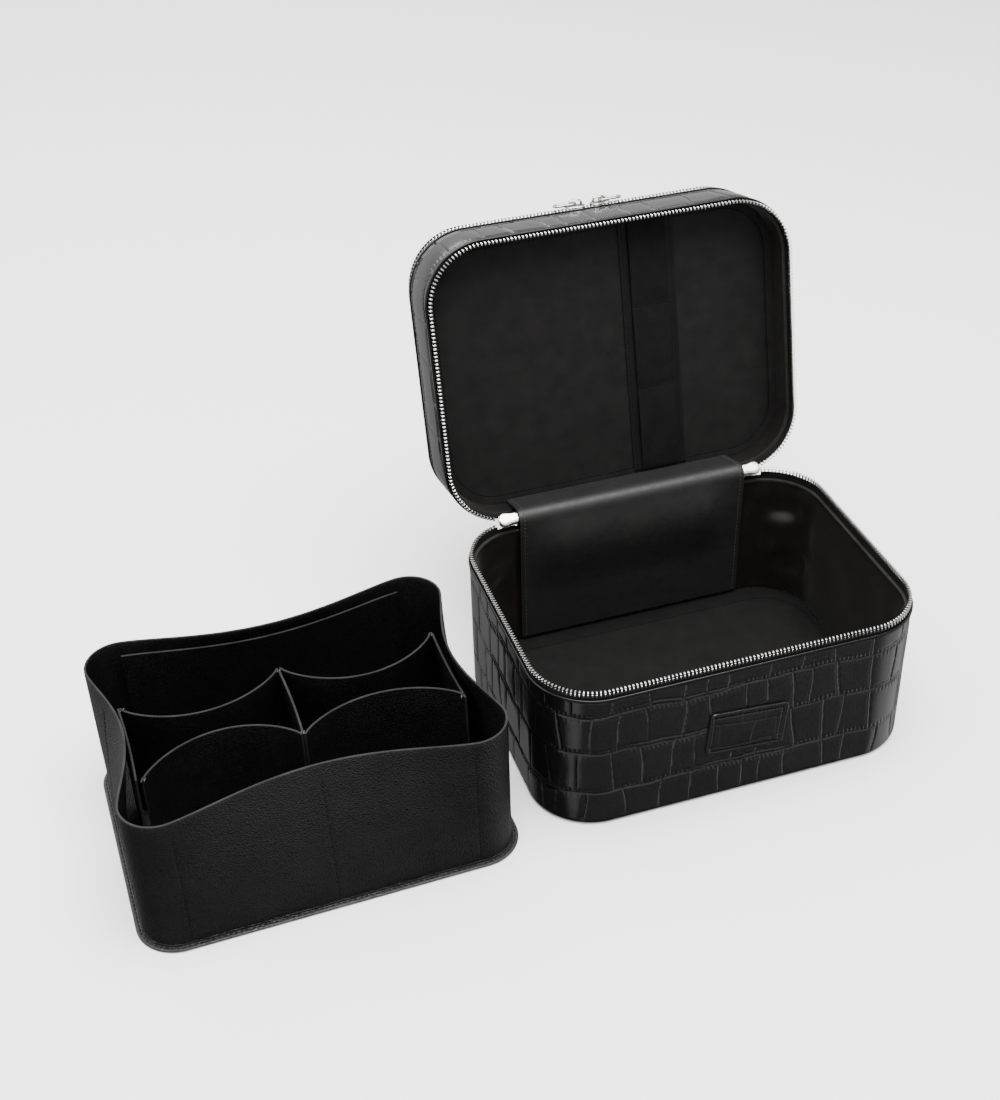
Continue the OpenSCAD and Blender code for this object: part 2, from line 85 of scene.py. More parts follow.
CAMERA_TURN = (-17.01, 35.76, -1.94)
CAMERA_AT = (-0.35917, -0.76924, 0.73261)
SENSOR, LENS = 36.0, 53.55883636


# ------------------------------------------------------------ placing
def rotation(angle):
    """Turns about the X line through the lid's hinge, positive opens."""
    pivot = Matrix.Translation((0, HINGE_Y, SEAM_Z))
    return pivot @ Matrix.Rotation(-angle, 4, "X") @ pivot.inverted()


def moved(points, matrix):
    m = np.array(matrix)
    return np.asarray(points, float) @ m[:3, :3].T + m[:3, 3]


STAND = Matrix.Identity(4)
LID = rotation(LID_OPEN) @ Matrix.Translation((0, 0, SEAM_Z))
ON_TABLE = (Matrix.Translation((INSERT[0], INSERT[1], 0))
            @ Matrix.Rotation(INSERT[2], 4, "Z"))
PLACES = {"lid": LID, "top_cover": LID, "handle": LID, "insert": ON_TABLE}


def main_zip(side):
    return (rotation(LID_OPEN / 2)
            @ Matrix.Translation((side * MAIN_SLIDER_X, HINGE_Y, SEAM_Z))
            @ Matrix.Scale(side, 4, (1, 0, 0)))


def cover_zip(x, side):
    return (LID @ Matrix.Translation((x, -COVER_D / 2, BAND_H))
            @ Matrix.Scale(-side, 4, (1, 0, 0))
            @ Matrix.Scale(-1, 4, (0, 1, 0)))


# ------------------------------------------------------------ mesh building
def piece(name, points, faces, body, mat, slot=None, replaces=(),
          place=None, mats=None, face_mats=None, blend=None, smooth=40):
    """Makes a mesh from points in mm and lets it ride on a body."""
    place = place or PLACES.get(body, STAND)
    pts = moved(points, place) / 1000
    mesh = bpy.data.meshes.new(name)
    mesh.from_pydata([tuple(p) for p in pts], [], [tuple(f) for f in faces])
    for m in (mats or [mat]):
        mesh.materials.append(m)
    if face_mats is not None:
        mesh.polygons.foreach_set("material_index", face_mats)
    if place.determinant() < 0:
        mesh.flip_normals()
    mesh.polygons.foreach_set("use_smooth", [True] * len(mesh.polygons))
    mesh.update()
    obj = bpy.data.objects.new(name, mesh)
    bpy.context.scene.collection.objects.link(obj)
    if smooth:
        mesh.set_sharp_from_angle(angle=math.radians(smooth))
    if blend:
        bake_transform(obj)
    else:
        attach(obj, body)
    if replaces:
        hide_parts(*replaces)
    return obj


def grid_faces(rows, cols, wrap_cols=False, wrap_rows=False, base=0):
    """Quads of a grid of rows x cols points."""
    out = []
    for i in range(rows if wrap_rows else rows - 1):
        a, b = i * cols, ((i + 1) % rows) * cols
        for j in range(cols if wrap_cols else cols - 1):
            k = (j + 1) % cols
            out.append(tuple(base + i for i in (a + j, a + k, b + k, b + j)))
    return out


def caps(rows, cols, base=0):
    """The two end faces of a tube of rows x cols points."""
    first = tuple(range(base, base + cols))
    return [first[::-1], tuple(i + (rows - 1) * cols for i in first)]


def shell(rows):
    """A closed skin over rings of points, facing outwards."""
    faces = grid_faces(len(rows), len(rows[0]), True, True)
    return np.vstack(rows), [f[::-1] for f in faces]


def steps(path):
    """The length of each step of a polyline."""
    return np.linalg.norm(np.diff(path, axis=0), axis=1)


def bent(value, power):
    """A power that keeps the sign, for soft corners."""
    return math.copysign(abs(value) ** power, value)


class Track:
    """A rounded rectangle, measured along its edge from the middle of the
    back towards +X."""

    def __init__(self, w, d, r):
        hx, hy = w / 2 - r, d / 2 - r
        q = math.pi / 2 * r
        self.r = r
        self.parts = [
            (hx, "line", (0, d / 2), (1, 0)), (q, "arc", (hx, hy), 90),
            (2 * hy, "line", (w / 2, hy), (0, -1)), (q, "arc", (hx, -hy), 0),
            (2 * hx, "line", (hx, -d / 2), (-1, 0)),
            (q, "arc", (-hx, -hy), -90),
            (2 * hy, "line", (-w / 2, -hy), (0, 1)),
            (q, "arc", (-hx, hy), 180), (hx, "line", (-hx, d / 2), (1, 0))]
        self.length = sum(p[0] for p in self.parts)

    def at(self, s):
        """Points and outward normals at the lengths s."""
        s = np.asarray(s, float) % self.length
        p, n = np.zeros((len(s), 2)), np.zeros((len(s), 2))
        start = 0.0
        for size, kind, a, b in self.parts:
            m = (s >= start) & (s <= start + size)
            u = s[m] - start
            if kind == "line":
                p[m] = np.array(a) + u[:, None] * np.array(b)
                n[m] = (-b[1], b[0])
            else:
                t = np.radians(b) - u / self.r
                n[m] = np.c_[np.cos(t), np.sin(t)]
                p[m] = np.array(a) + self.r * n[m]
            start += size
        return p, n

    def ring(self, s, offset, z):
        """Points at the lengths s, moved out by offset, at the heights z."""
        p, n = self.at(s)
        offset = np.broadcast_to(offset, len(s))
        return np.c_[p + n * np.asarray(offset)[:, None],
                     np.broadcast_to(z, len(s))]


SEAM = Track(SEAM_W, SEAM_D, CORNER_R)
COVER = Track(COVER_W, COVER_D, COVER_R)


def swept(track, s, section, closed_loop=True):
    """A closed section of (offset, z) points swept along a track."""
    cols = len(s)
    pts = np.vstack([track.ring(s, o, z) for o, z in section])
    faces = grid_faces(len(section), cols, closed_loop, True)
    if not closed_loop:
        n = len(section)
        faces.append(tuple(i * cols for i in range(n)))
        faces.append(tuple((n - 1 - i) * cols + cols - 1 for i in range(n)))
    return pts, faces


def waves(x, y, seed, size, octaves=3, stretch=1.0):
    """Smooth repeatable noise from sums of tilted sine waves, about -1..1."""
    rng = np.random.default_rng(seed)
    out = np.zeros(np.broadcast(x, y).shape)
    for k in range(octaves):
        for _ in range(5):
            a, ph = rng.uniform(0, math.tau, 2)
            f = math.tau / (size / 1.9 ** k) * rng.uniform(0.7, 1.3)
            out = out + (np.sin(f * (x * math.cos(a) + y * math.sin(a)
                                     / stretch) + ph) / 1.9 ** k)
    return out / 5


def croc(u, v, lines, width, seed, period=None):
    """Depth in mm of a crocodile emboss with rows along u, at v=lines."""
    rng = np.random.default_rng(seed)
    depth = np.zeros(np.broadcast(u, v).shape)
    loop = period or 900.0
    k = math.tau / loop
    pitch = loop / round(loop / 2.9)
    comb = (u / pitch) % 1.0 - 0.5
    tick = np.exp(-(comb * pitch / 0.45) ** 2) * (1.0 if period else 0.0)

    def wobble(amount):
        a, b, c = rng.integers(3, 9), rng.integers(9, 17), rng.integers(17, 30)
        p = rng.uniform(0, math.tau, 3)
        return amount * (np.sin(a * k * u + p[0])
                         + 0.6 * np.sin(b * k * u + p[1])
                         + 0.35 * np.sin(c * k * u + p[2]))

    edges = [line + wobble(1.0) for line in lines]
    for edge in edges:
        d = v - edge
        strong = 0.8 + 0.2 * np.sin(7 * k * u + rng.uniform(0, 6))
        depth = np.maximum(depth, 0.72 * strong * np.exp(-(d / 0.6) ** 2))
        near = np.clip(np.sin(5 * k * u + rng.uniform(0, 6)) * 1.6, 0, 1)
        gap = 2.6 + 0.5 * np.sin(11 * k * u)
        depth = np.maximum(
            depth, 0.48 * near * np.exp(-((d - gap) / 0.55) ** 2))
        for side, share in ((1, 1 - near), (-1, 0.35 + 0.65 * near)):
            reach = (np.clip((side * d - 0.3) / 0.5, 0, 1)
                     * np.clip((3.9 - side * d) / 1.3, 0, 1))
            depth = np.maximum(depth, 0.42 * tick * reach * share)
    bounds = [np.full_like(depth, -1e3)] + edges + [np.full_like(depth, 1e3)]
    for row in range(len(bounds) - 1):
        inside = (v > bounds[row]) & (v <= bounds[row + 1])
        at, marks = rng.uniform(0, width), []
        while at < loop - width * 0.5:
            marks.append(at)
            at += width * rng.uniform(0.62, 1.3)
        for mark in marks:
            slant, bend = rng.uniform(-0.13, 0.13), rng.uniform(-0.8, 0.8)
            middle = lines[min(row, len(lines) - 1)]
            x = mark + slant * (v - middle) + bend * np.sin((v - middle) / 6)
            d = u - x
            if period:
                d = (d + loop / 2) % loop - loop / 2
            close = inside & (np.abs(d) < 4)
            power = rng.uniform(0.46, 0.7)
            line = power * (np.exp(-(d / 0.55) ** 2)
                            + 0.3 * np.exp(-((d - 1.6) / 1.0) ** 2))
            depth = np.where(close, np.maximum(depth, line), depth)
    return depth


def stitches(name, centres, along, out, body, mat, length=2.0, radius=0.28,
             place=None, slot=None, blend=None):
    """Threads as small capsules that lie in the surface."""
    centres = np.atleast_2d(np.asarray(centres, float))
    along = np.broadcast_to(np.asarray(along, float), centres.shape)
    out = np.broadcast_to(np.asarray(out, float), centres.shape)
    rings = ((-0.5, 0.35), (-0.36, 0.9), (0.0, 1.0), (0.36, 0.9), (0.5, 0.35))
    sides = 6
    pts, faces = [], []
    for c, t, n in zip(centres, along, out):
        t = t / np.linalg.norm(t)
        n = n - t * (n @ t)
        n = n / np.linalg.norm(n)
        b = np.cross(t, n)
        base = len(pts)
        for u, r in rings:
            for i in range(sides):
                a = math.tau * i / sides
                pts.append(c + t * u * length
                           + radius * r * (1.25 * b * math.cos(a)
                                           + n * math.sin(a)))
        faces += grid_faces(len(rings), sides, True, base=base)
        faces += caps(len(rings), sides, base)
    piece(name, pts, faces, body, mat, slot=slot, place=place, blend=blend,
          smooth=0)


def seam_points(points, gap):
    """Evenly spaced centres and directions along a polyline."""
    points = np.asarray(points, float)
    where = np.r_[0, np.cumsum(steps(points))]
    count = max(1, int(where[-1] / gap))
    middle = (np.arange(count) + 0.5) * where[-1] / count
    centres, ahead, behind = (
        np.c_[[np.interp(at, where, points[:, k]) for k in range(3)]].T
        for at in (middle, middle + 0.05, middle - 0.05))
    return centres, ahead - behind


def sew(name, line, gap, out, body, mat, length, radius, slot, place=None):
    """A row of stitches along a line of points."""
    centres, along = seam_points(line, gap)
    stitches(name, centres, along, out, body, mat, length, radius, place,
             slot)


# ------------------------------------------------------------ materials
class Nodes:
    """A shader tree, built a node at a time."""

    def __init__(self, tree):
        self.tree = tree

    def node(self, kind, **inputs):
        """Adds a node and sets or links the inputs it is given."""
        n = self.tree.nodes.new("ShaderNode" + kind)
        for key, value in inputs.items():
            self.put(n.inputs[key.replace("_", " ")], value)
        return n

    def put(self, socket, value):
        if isinstance(value, bpy.types.NodeSocket):
            self.tree.links.new(value, socket)
        else:
            socket.default_value = value

    def maths(self, op, a, b=0.0):
        n = self.node("Math")
        n.operation = op
        self.put(n.inputs[0], a)
        self.put(n.inputs[1], b)
        return n.outputs[0]


class Graph(Nodes):
    """A material's graph around its Principled shader."""

    def __init__(self, name, color, roughness, **shader):
        self.mat = bpy.data.materials.new(name)
        self.mat.use_nodes = True
        super().__init__(self.mat.node_tree)
        self.bsdf = self.tree.nodes["Principled BSDF"]
        self.bsdf.inputs["Base Color"].default_value = (*color, 1)
        self.bsdf.inputs["Roughness"].default_value = roughness
        for key, value in shader.items():
            self.bsdf.inputs[key].default_value = value
        self.last_bump = None
        self.where = self.node("TexCoord").outputs["Object"]

    def noise(self, scale, detail=3.0, roughness=0.5):
        return self.node("TexNoise", Scale=scale, Detail=detail,
                         Roughness=roughness,
                         Vector=self.where).outputs["Fac"]

    def cells(self, scale, smooth):
        n = self.node("TexVoronoi")
        n.feature = "SMOOTH_F1"
        for key, value in (("Scale", scale), ("Smoothness", smooth),
                           ("Vector", self.where)):
            self.put(n.inputs[key], value)
        return n.outputs["Distance"]

    def bands(self, scale, direction):
        n = self.node("TexWave", Scale=scale, Distortion=0.0, Detail=1.0,
                      Vector=self.where)
        n.bands_direction = direction
        return n.outputs["Fac"]

    def tint(self, fac, dark, light):
        n = self.node("ValToRGB")
        ramp = n.color_ramp.elements
        ramp[0].position, ramp[1].position = 0.3, 0.7
        ramp[0].color, ramp[1].color = (*dark, 1), (*light, 1)
        self.put(n.inputs["Fac"], fac)
        self.put(self.bsdf.inputs["Base Color"], n.outputs["Color"])

    def rough(self, fac, low, high):
        n = self.node("MapRange", From_Min=0.25, From_Max=0.75, To_Min=low,
                      To_Max=high, Value=fac)
        self.put(self.bsdf.inputs["Roughness"], n.outputs["Result"])

    def bump(self, height, strength, distance):
        """Adds a bump over those that are already there."""
        n = self.node("Bump", Strength=strength, Distance=distance,
                      Height=height)
        if self.last_bump:
            self.put(n.inputs["Normal"], self.last_bump)
        self.last_bump = n.outputs["Normal"]
        self.put(self.bsdf.inputs["Normal"], self.last_bump)


def leather(name, dark, light, rough, pore, strength, specular=0.5,
            depth=0.00012):
    """Finished leather: a pore grain over a slow unevenness."""
    g = Graph(name, light, rough[0], **{"Specular IOR Level": specular})
    slow = g.noise(55, 3)
    g.tint(slow, dark, light)
    g.rough(g.noise(180, 4), *rough)
    g.bump(slow, 0.15, 0.0012)
    g.bump(g.cells(pore, 0.4), strength, depth)
    g.bump(g.noise(pore * 2.5, 2), strength * 0.4, 0.00006)
    return g.mat


def cloth(name, dark, light, rough, thread, strength, specular=0.5,
          **shader):
    """A plain weave of fine threads in all three directions."""
    g = Graph(name, light, rough, **{"Specular IOR Level": specular},
              **shader)
    weave = g.maths("MAXIMUM", g.bands(thread, "X"),
                    g.maths("MAXIMUM", g.bands(thread, "Y"),
                            g.bands(thread, "Z")))
    g.tint(g.noise(90, 4), dark, light)
    g.bump(g.noise(38, 3), 0.12, 0.0012)
    g.bump(weave, strength, 0.00008)
    return g.mat


def metal(name, color, rough):
    g = Graph(name, color, rough[0], Metallic=1.0)
    g.rough(g.noise(260, 5), *rough)
    shade = tuple(c * 0.86 for c in color)
    g.tint(g.noise(120, 3), shade, color)
    g.bump(g.noise(900, 2), 0.08, 0.00005)
    return g.mat


def board(name):
    g = Graph(name, (0.2, 0.16, 0.11), 0.85)
    g.tint(g.noise(400, 6, 0.7), (0.15, 0.115, 0.08), (0.26, 0.21, 0.15))
    g.bump(g.noise(1500, 4), 0.4, 0.0001)
    return g.mat


CROC = leather("croc_leather", (0.0022, 0.0022, 0.0024),
               (0.003, 0.003, 0.0032), (0.1, 0.17), 1500, 0.12, 0.55)
SMOOTH = leather("smooth_leather", (0.003, 0.003, 0.003),
                 (0.0055, 0.0053, 0.005), (0.54, 0.64), 1900, 0.3, 0.45)
PIPING = leather("piping_leather", (0.0018, 0.0018, 0.0018),
                 (0.0035, 0.0035, 0.0035), (0.16, 0.24), 1900, 0.2, 0.22)
STRAP = leather("strap_leather", (0.0018, 0.0017, 0.0016),
                (0.0032, 0.003, 0.0029), (0.5, 0.6), 2100, 0.3, 0.14)
PEBBLE = leather("leatherette", (0.0016, 0.0016, 0.0017),
                 (0.003, 0.003, 0.0031), (0.32, 0.42), 1080, 1.0, 0.28,
                 0.00055)
# a lighter copy of the wall's leatherette for the flange: painted light that
# lifts the shade at the insert's foot
LIT_FLANGE = leather("flange_leatherette", (0.004, 0.004, 0.0041),
                 (0.0085, 0.0085, 0.0087), (0.42, 0.55), 980, 0.9, 0.5,
                 0.0004)
PALE_EDGE = leather("pale_cut_edge", (0.1, 0.1, 0.1), (0.2, 0.2, 0.2),
                    (0.6, 0.75), 2600, 0.5)
CUT_EDGE = leather("cut_edge", (0.009, 0.009, 0.0095), (0.02, 0.02, 0.021),
                   (0.6, 0.75), 2600, 0.5, 0.15)
LINING = cloth("lining_cloth", (0.0028, 0.0022, 0.0018),
               (0.0055, 0.0045, 0.0038), 0.32, 1500, 0.2, 0.6,
               **{"Sheen Weight": 0.05, "Sheen Roughness": 0.35})
PANEL = cloth("panel_cloth", (0.0042, 0.0039, 0.0038),
              (0.007, 0.0065, 0.0063), 0.62, 1100, 0.4, 0.13)
# a darker copy of the panel cloth for the case floor: painted shade that
# offsets the stronger top light there
SHADED_FLOOR_CLOTH = cloth("floor_cloth_painted_shade", (0.0022, 0.002, 0.0019),
                    (0.0038, 0.0035, 0.0033), 0.62, 1100, 0.4, 0.13)
HEM = cloth("hem_cloth", (0.009, 0.008, 0.007), (0.018, 0.016, 0.0145),
            0.6, 1300, 0.4, 0.2)
ELASTIC = cloth("elastic_cloth", (0.0022, 0.0022, 0.0022),
                (0.0038, 0.0038, 0.0038), 0.75, 800, 0.8, 0.1)
TAPE = cloth("zip_tape_cloth", (0.003, 0.003, 0.003), (0.006, 0.006, 0.006),
             0.8, 900, 0.7, 0.12)
NICKEL = metal("nickel", (0.7, 0.69, 0.665), (0.08, 0.17))
POLISHED = metal("polished_nickel", (0.42, 0.41, 0.395), (0.05, 0.12))
SATIN = metal("satin_nickel", (0.72, 0.705, 0.68), (0.22, 0.32))
THREAD = cloth("black_thread", (0.0015, 0.0015, 0.0015),
               (0.004, 0.004, 0.004), 0.7, 2600, 0.5, 0.15)
GREY_THREAD = cloth("grey_thread", (0.014, 0.014, 0.014),
                    (0.035, 0.035, 0.035), 0.6, 2600, 0.5)
BOARD = board("board")

NODE_MATERIALS = {
    BOARD: ("body_board", "lid_board", "cover_board"),
    HEM: ("body_lining_hem", "lid_lining_hem"),
    # the base board takes the darker floor cloth too: painted shade on the
    # strip round the floor pad
    SHADED_FLOOR_CLOTH: ("base_board",),
    LINING: ("lid_lining",),
    TAPE: ("body_zip_tape", "lid_zip_tape", "band_zip_tape",
           "cover_zip_tape"),
    PIPING: ("band_top_welt", "cover_welt"),
    NICKEL: ("band_zip_stops",),
    POLISHED: ("handle_rings",),
    PANEL: ("lid_panel_binding", "pocket_lining", "cover_lining"),
    PEBBLE: ("insert_base", "wall_seam_tab"),
}
for mat, names in NODE_MATERIALS.items():
    for name in names:
        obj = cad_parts[name]
        if not obj.material_slots:
            obj.data.materials.append(mat)
        for slot in obj.material_slots:
            slot.material = mat


# ------------------------------------------------------------ croc shells
def filled_rows(track, s, offset, z, shrinks, dome=0.0):
    """Rings that run from a track's edge to its middle."""
    edge = track.ring(s, offset, z)
    rows = []
    for k in shrinks:
        row = edge * np.array([k, k, 1.0])
        row[:, 2] = z + dome * (1 - k * k)
        rows.append(row)
    return rows


def embossed_wall(track, s, z, base, lines, seed, width):
    """Outer wall rows with the emboss pressed in, from z[0] to z[-1]."""
    rows = []
    p, n = track.at(s)
    for height, off in zip(z, base):
        depth = croc(s, np.full_like(s, height), lines, width, seed,
                     track.length)
        puff = 0.12 * waves(s, height, seed + 5, 60, 2)
        rows.append(np.c_[p + n * (off - depth + puff)[:, None],
                          np.full_like(s, height)])
    return rows


def body_shell():
    s = np.arange(0, SEAM.length, EMBOSS_STEP)
    r = 3.4
    top = SEAM_Z - WELT_NEAR - WELT_H
    turn = np.radians(np.linspace(8, 90, 8))
    z_edge = r - r * np.sin(turn[::-1])
    off_edge = SKIN_OUT - r + r * np.cos(turn[::-1])
    z = np.arange(r + 0.8, top, EMBOSS_STEP)
    rows = embossed_wall(SEAM, s, z, np.full(len(z), SKIN_OUT),
                         [25.5, 57.5, 87.0], 11, 21.0)
    under = filled_rows(SEAM, s, SKIN_OUT - r, 0.0,
                        (0.02, 0.2, 0.5, 0.8, 0.97))
    edge = [SEAM.ring(s, o, max(h, 0.0))
            for o, h in zip(off_edge, z_edge)]
    lip = [SEAM.ring(s, SKIN_OUT - 0.1, top), SEAM.ring(s, SKIN_IN, top),
           SEAM.ring(s, SKIN_IN, 30.0), SEAM.ring(s, SKIN_IN, 4.0),
           SEAM.ring(s, 0.2, 1.3)]
    inside = filled_rows(SEAM, s, 0.2, 1.3, (0.8, 0.5, 0.2, 0.02))
    rows = under + edge + rows + lip + inside
    piece("case_croc_leather", *shell(rows), "case", CROC, "croc_leather",
          ("body_leather", "base_leather"))


def lid_shell():
    s = np.arange(0, SEAM.length, EMBOSS_STEP)
    low, high = WELT_NEAR + WELT_H, BAND_TOP - 2.2
    z = np.arange(low + 0.3, high, EMBOSS_STEP)
    puff = 0.7 * np.sin(math.pi * (z - low) / (high - low)) ** 0.8 - 0.2
    rows = embossed_wall(SEAM, s, z, SKIN_OUT + puff,
                         [11.5, 41.0], 23, 25.0)
    lip = [SEAM.ring(s, SKIN_OUT - 0.1, high), SEAM.ring(s, SKIN_IN, high),
           SEAM.ring(s, SKIN_IN, low), SEAM.ring(s, SKIN_OUT - 0.1, low)]
    piece("lid_croc_leather", *shell(rows + lip), "lid", CROC,
          "croc_leather", ("lid_leather",))


def cover_shell():
    s = np.arange(0, COVER.length, 1.0)
    low, top = COVER_LOW + 2.0, COVER_TOP
    outer = -COVER_IN
    turn = np.radians(np.linspace(0, 90, 5))
    r = 1.1
    edge = [COVER.ring(s, outer - r + r * math.cos(a),
                       top - r + r * math.sin(a)) for a in turn]
    inner = []
    flat = COVER.ring(s, outer - r, top)
    for k in np.linspace(1, 0.0, 130)[1:]:
        k = max(k, 0.004)
        row = flat * np.array([k, k, 1.0])
        depth = croc(row[:, 0] + 130, row[:, 1], [-72, -44, -17, 12, 39, 66],
                     23.0, 37)
        fade = min(1.0, (1 - k) * 30)
        row[:, 2] = top - depth * fade + 0.5 * (1 - k * k)
        inner.append(row)
    under = filled_rows(COVER, s, outer, low, (0.004, 0.3, 0.7, 0.999))
    piece("cover_croc_leather", *shell(under + edge + inner), "top_cover",
          CROC, "croc_leather", ("cover_leather",))


def round_section(centre, half, power=2.6, count=14):
    """A soft rectangle of (offset, z) points."""
    turn = (math.tau * i / count for i in range(count))
    return [(centre[0] + half[0] * bent(math.cos(a), 2 / power),
             centre[1] + half[1] * bent(math.sin(a), 2 / power))
            for a in turn]


def open_columns(track, end_x, step):
    """Lengths along a track that leave out the back between +-end_x."""
    s = np.arange(0, track.length / 2, 0.1)
    p, _ = track.at(s)
    first = s[np.argmax(p[:, 0] >= end_x)]
    count = int((track.length - 2 * first) / step)
    return np.linspace(first, track.length - first, count)


def welts():
    s = open_columns(SEAM, WELT_END, 2.0)
    for word, z, body in (
            ("body", SEAM_Z - WELT_NEAR - WELT_H / 2, "case"),
            ("lid", WELT_NEAR + WELT_H / 2, "lid")):
        section = round_section((1.35, z), (0.95, 1.12))
        piece(f"{word}_rim_piping", *swept(SEAM, s, section, False), body,
              PIPING, "smooth_leather", (f"{word}_rim_welt",))


# ------------------------------------------------------------ zips
def tooth(width, deep, tall, low):
    """A soft-cornered block: along the chain, across it, and up from low."""
    pts = []
    for z, k in ((low, 0.62), (low + 0.28, 1.0), (low + tall - 0.28, 1.0),
                 (low + tall, 0.62)):
        for a, b in ((-1, -0.55), (-0.62, -1), (0.62, -1), (1, -0.55),
                     (1, 0.55), (0.62, 1), (-0.62, 1), (-1, 0.55)):
            pts.append((a * k * width / 2, b * k * deep / 2, z))
    return np.array(pts), grid_faces(4, 8, True) + caps(4, 8)


def chain(word, track, end_x, direction, centre_z, body):
    """Teeth along a track; direction -1 hangs them below the zip's line."""
    s0 = open_columns(track, end_x, 50)[0]
    half_step = direction > 0
    count = int((track.length - 2 * s0) / PITCH)
    s = s0 + (np.arange(count) + (0.5 if half_step else 0.0)) * PITCH
    s = s[s < track.length - s0]
    p, n = track.at(s)
    legs, legs_faces = tooth(0.95, 2.2, 2.2, 1.2)
    head, head_faces = tooth(1.05, 1.9, 1.7, -0.25)
    shape = np.vstack([legs, head])
    shape_faces = legs_faces + [tuple(i + len(legs) for i in f)
                                for f in head_faces]
    if direction < 0:
        shape_faces = [f[::-1] for f in shape_faces]
    pts, faces = [], []
    for q, m in zip(p, n):
        base = len(pts)
        t = np.array([-m[1], m[0]])
        for a, b, z in shape:
            xy = q + t * a + m * b
            pts.append((xy[0], xy[1], centre_z + direction * z))
        faces += [tuple(base + i for i in f) for f in shape_faces]
    piece(f"{word}_zip_teeth", pts, faces, body, NICKEL, "nickel",
          (f"{word}_zip_chain",), smooth=35)


def slider_mesh():
    """Two waisted plates, their post, and the crown the pull hangs from."""
    length, slot, plate = 13.0, 1.6, 1.1
    xs = np.linspace(-length / 2, length / 2, 27)
    pts, faces = [], []

    def half_width(x):
        u = (x + length / 2) / length
        waist = 3.75 + 0.95 * (1 / (1 + math.exp(-(u - 0.48) * 16)))
        end = math.sqrt(max(0.0, 1 - max(0, (u - 0.72) / 0.28) ** 2.6))
        start = math.sqrt(max(0.0, 1 - max(0, (0.1 - u) / 0.1) ** 3))
        return max(0.25, waist * max(0.12, end) * max(0.8, start))

    profile = ((-1, 0.0), (-0.985, 0.35), (-0.9, 0.75), (-0.7, 1.0),
               (-0.3, 1.1), (0.3, 1.1), (0.7, 1.0), (0.9, 0.75),
               (0.985, 0.35), (1, 0.0))
    rows, cols = len(xs), len(profile)
    for side in (-1, 1):
        base = len(pts)
        for x in xs:
            w = half_width(x)
            pts += [(x, side * (slot + plate * h), b * w)
                    for b, h in profile]
        ends = [f[::-1] for f in caps(rows, cols, base)]
        both = grid_faces(rows, cols, True, base=base) + ends
        faces += [f if side < 0 else f[::-1] for f in both]
    base = len(pts)
    post = tooth(2.6, 0.9, 2 * slot + 0.6, -slot - 0.3)
    for a, b, z in post[0]:
        pts.append((length / 2 - 1.9 + a, z, b))
    faces += [tuple(base + i for i in f[::-1]) for f in post[1]]
    path = []
    for i in range(21):
        t = math.pi * i / 20
        path.append((-4.3 * bent(math.cos(t), 0.7),
                     slot + 0.75 + 3.75 * math.sin(t) ** 0.55, 0.0))
    tube(pts, faces, path, 1.0, (0, 0, 1), (0.8, 1.15))
    return np.array(pts), faces


def link_mesh(half, wire):
    """A wire link threaded under the crown, along +X."""
    reach, height = 14.9, LINK_Y
    path = []
    for centre, start in ((reach - half, -90), (half, 90)):
        for a in np.radians(np.linspace(start, start + 180, 13)):
            path.append((centre + half * math.cos(a), height,
                         half * math.sin(a)))
    pts, faces = [], []
    tube(pts, faces, path, wire, (0, 1, 0), closed=True)
    return np.array(pts), faces


def tube(pts, faces, path, radius, side, squash=(1.0, 1.0), closed=False):
    """Adds a tube along a path; side is across every bend of the path."""
    path = np.asarray(path, float)
    side = np.asarray(side, float)
    base, sides = len(pts), 12
    n = len(path)
    for i, c in enumerate(path):
        if closed:
            t = path[(i + 1) % n] - path[i - 1]
        else:
            t = path[min(i + 1, n - 1)] - path[max(i - 1, 0)]
        t = t / np.linalg.norm(t)
        b = side - t * (side @ t)
        b = b / np.linalg.norm(b)
        u = np.cross(b, t)
        for k in range(sides):
            a = math.tau * k / sides
            pts.append(tuple(c + radius * (u * math.cos(a) * squash[0]
                                           + b * math.sin(a) * squash[1])))
    faces += grid_faces(n, sides, True, closed, base=base)
    if not closed:
        faces += caps(n, sides, base)


def sliders():
    pts, faces = slider_mesh()
    link, link_faces = link_mesh(2.45, 0.85)
    hanging = link_mesh(1.75, 0.7)[0] - np.array([0, LINK_Y, 0])
    hanging = (np.c_[-hanging[:, 1], hanging[:, 0], hanging[:, 2]]
               + np.array([0, LINK_Y, 0]))
    flopped = link * np.array([-1, 1, 1])
    flopped_faces = [f[::-1] for f in link_faces]
    for word, side in SIDES:
        main, cover = main_zip(side), cover_zip(COVER_SLIDERS[word], side)
        for kind, shape, shape_faces, mat, place in (
                ("main_slider", pts, faces, SATIN, main),
                ("cover_slider", pts, faces, POLISHED, cover),
                ("main_pull", hanging, link_faces, POLISHED, main),
                ("cover_pull", flopped, flopped_faces, POLISHED, cover)):
            node = f"{kind}_{word}"
            end = "link" if "pull" in kind else "body"
            piece(f"{node}_{end}", shape, shape_faces, node, mat, "nickel",
                  (node,), place=place)


# ------------------------------------------------------------ leather hinge
def ribbon(path, thickness, x0, x1, columns, round_x=0.6):
    """A strip along a (y, z) path, thick across it, from x0 to x1."""
    path = np.asarray(path, float)
    t = np.gradient(path, axis=0)
    t /= np.linalg.norm(t, axis=1)[:, None]
    n = np.c_[-t[:, 1], t[:, 0]]
    xs = np.linspace(x0, x1, columns)
    rows, half = [], thickness / 2
    for x in xs:
        edge = min(x - x0, x1 - x)
        k = half * (1 if edge > round_x else
                    0.55 + 0.45 * math.sqrt(edge / round_x))
        loop = np.vstack([path + n * k, (path - n * k)[::-1]])
        rows.append(np.c_[np.full(len(loop), x), loop])
    m = 2 * len(path)
    faces = grid_faces(len(rows), m, True) + caps(len(rows), m)
    return np.vstack(rows), faces


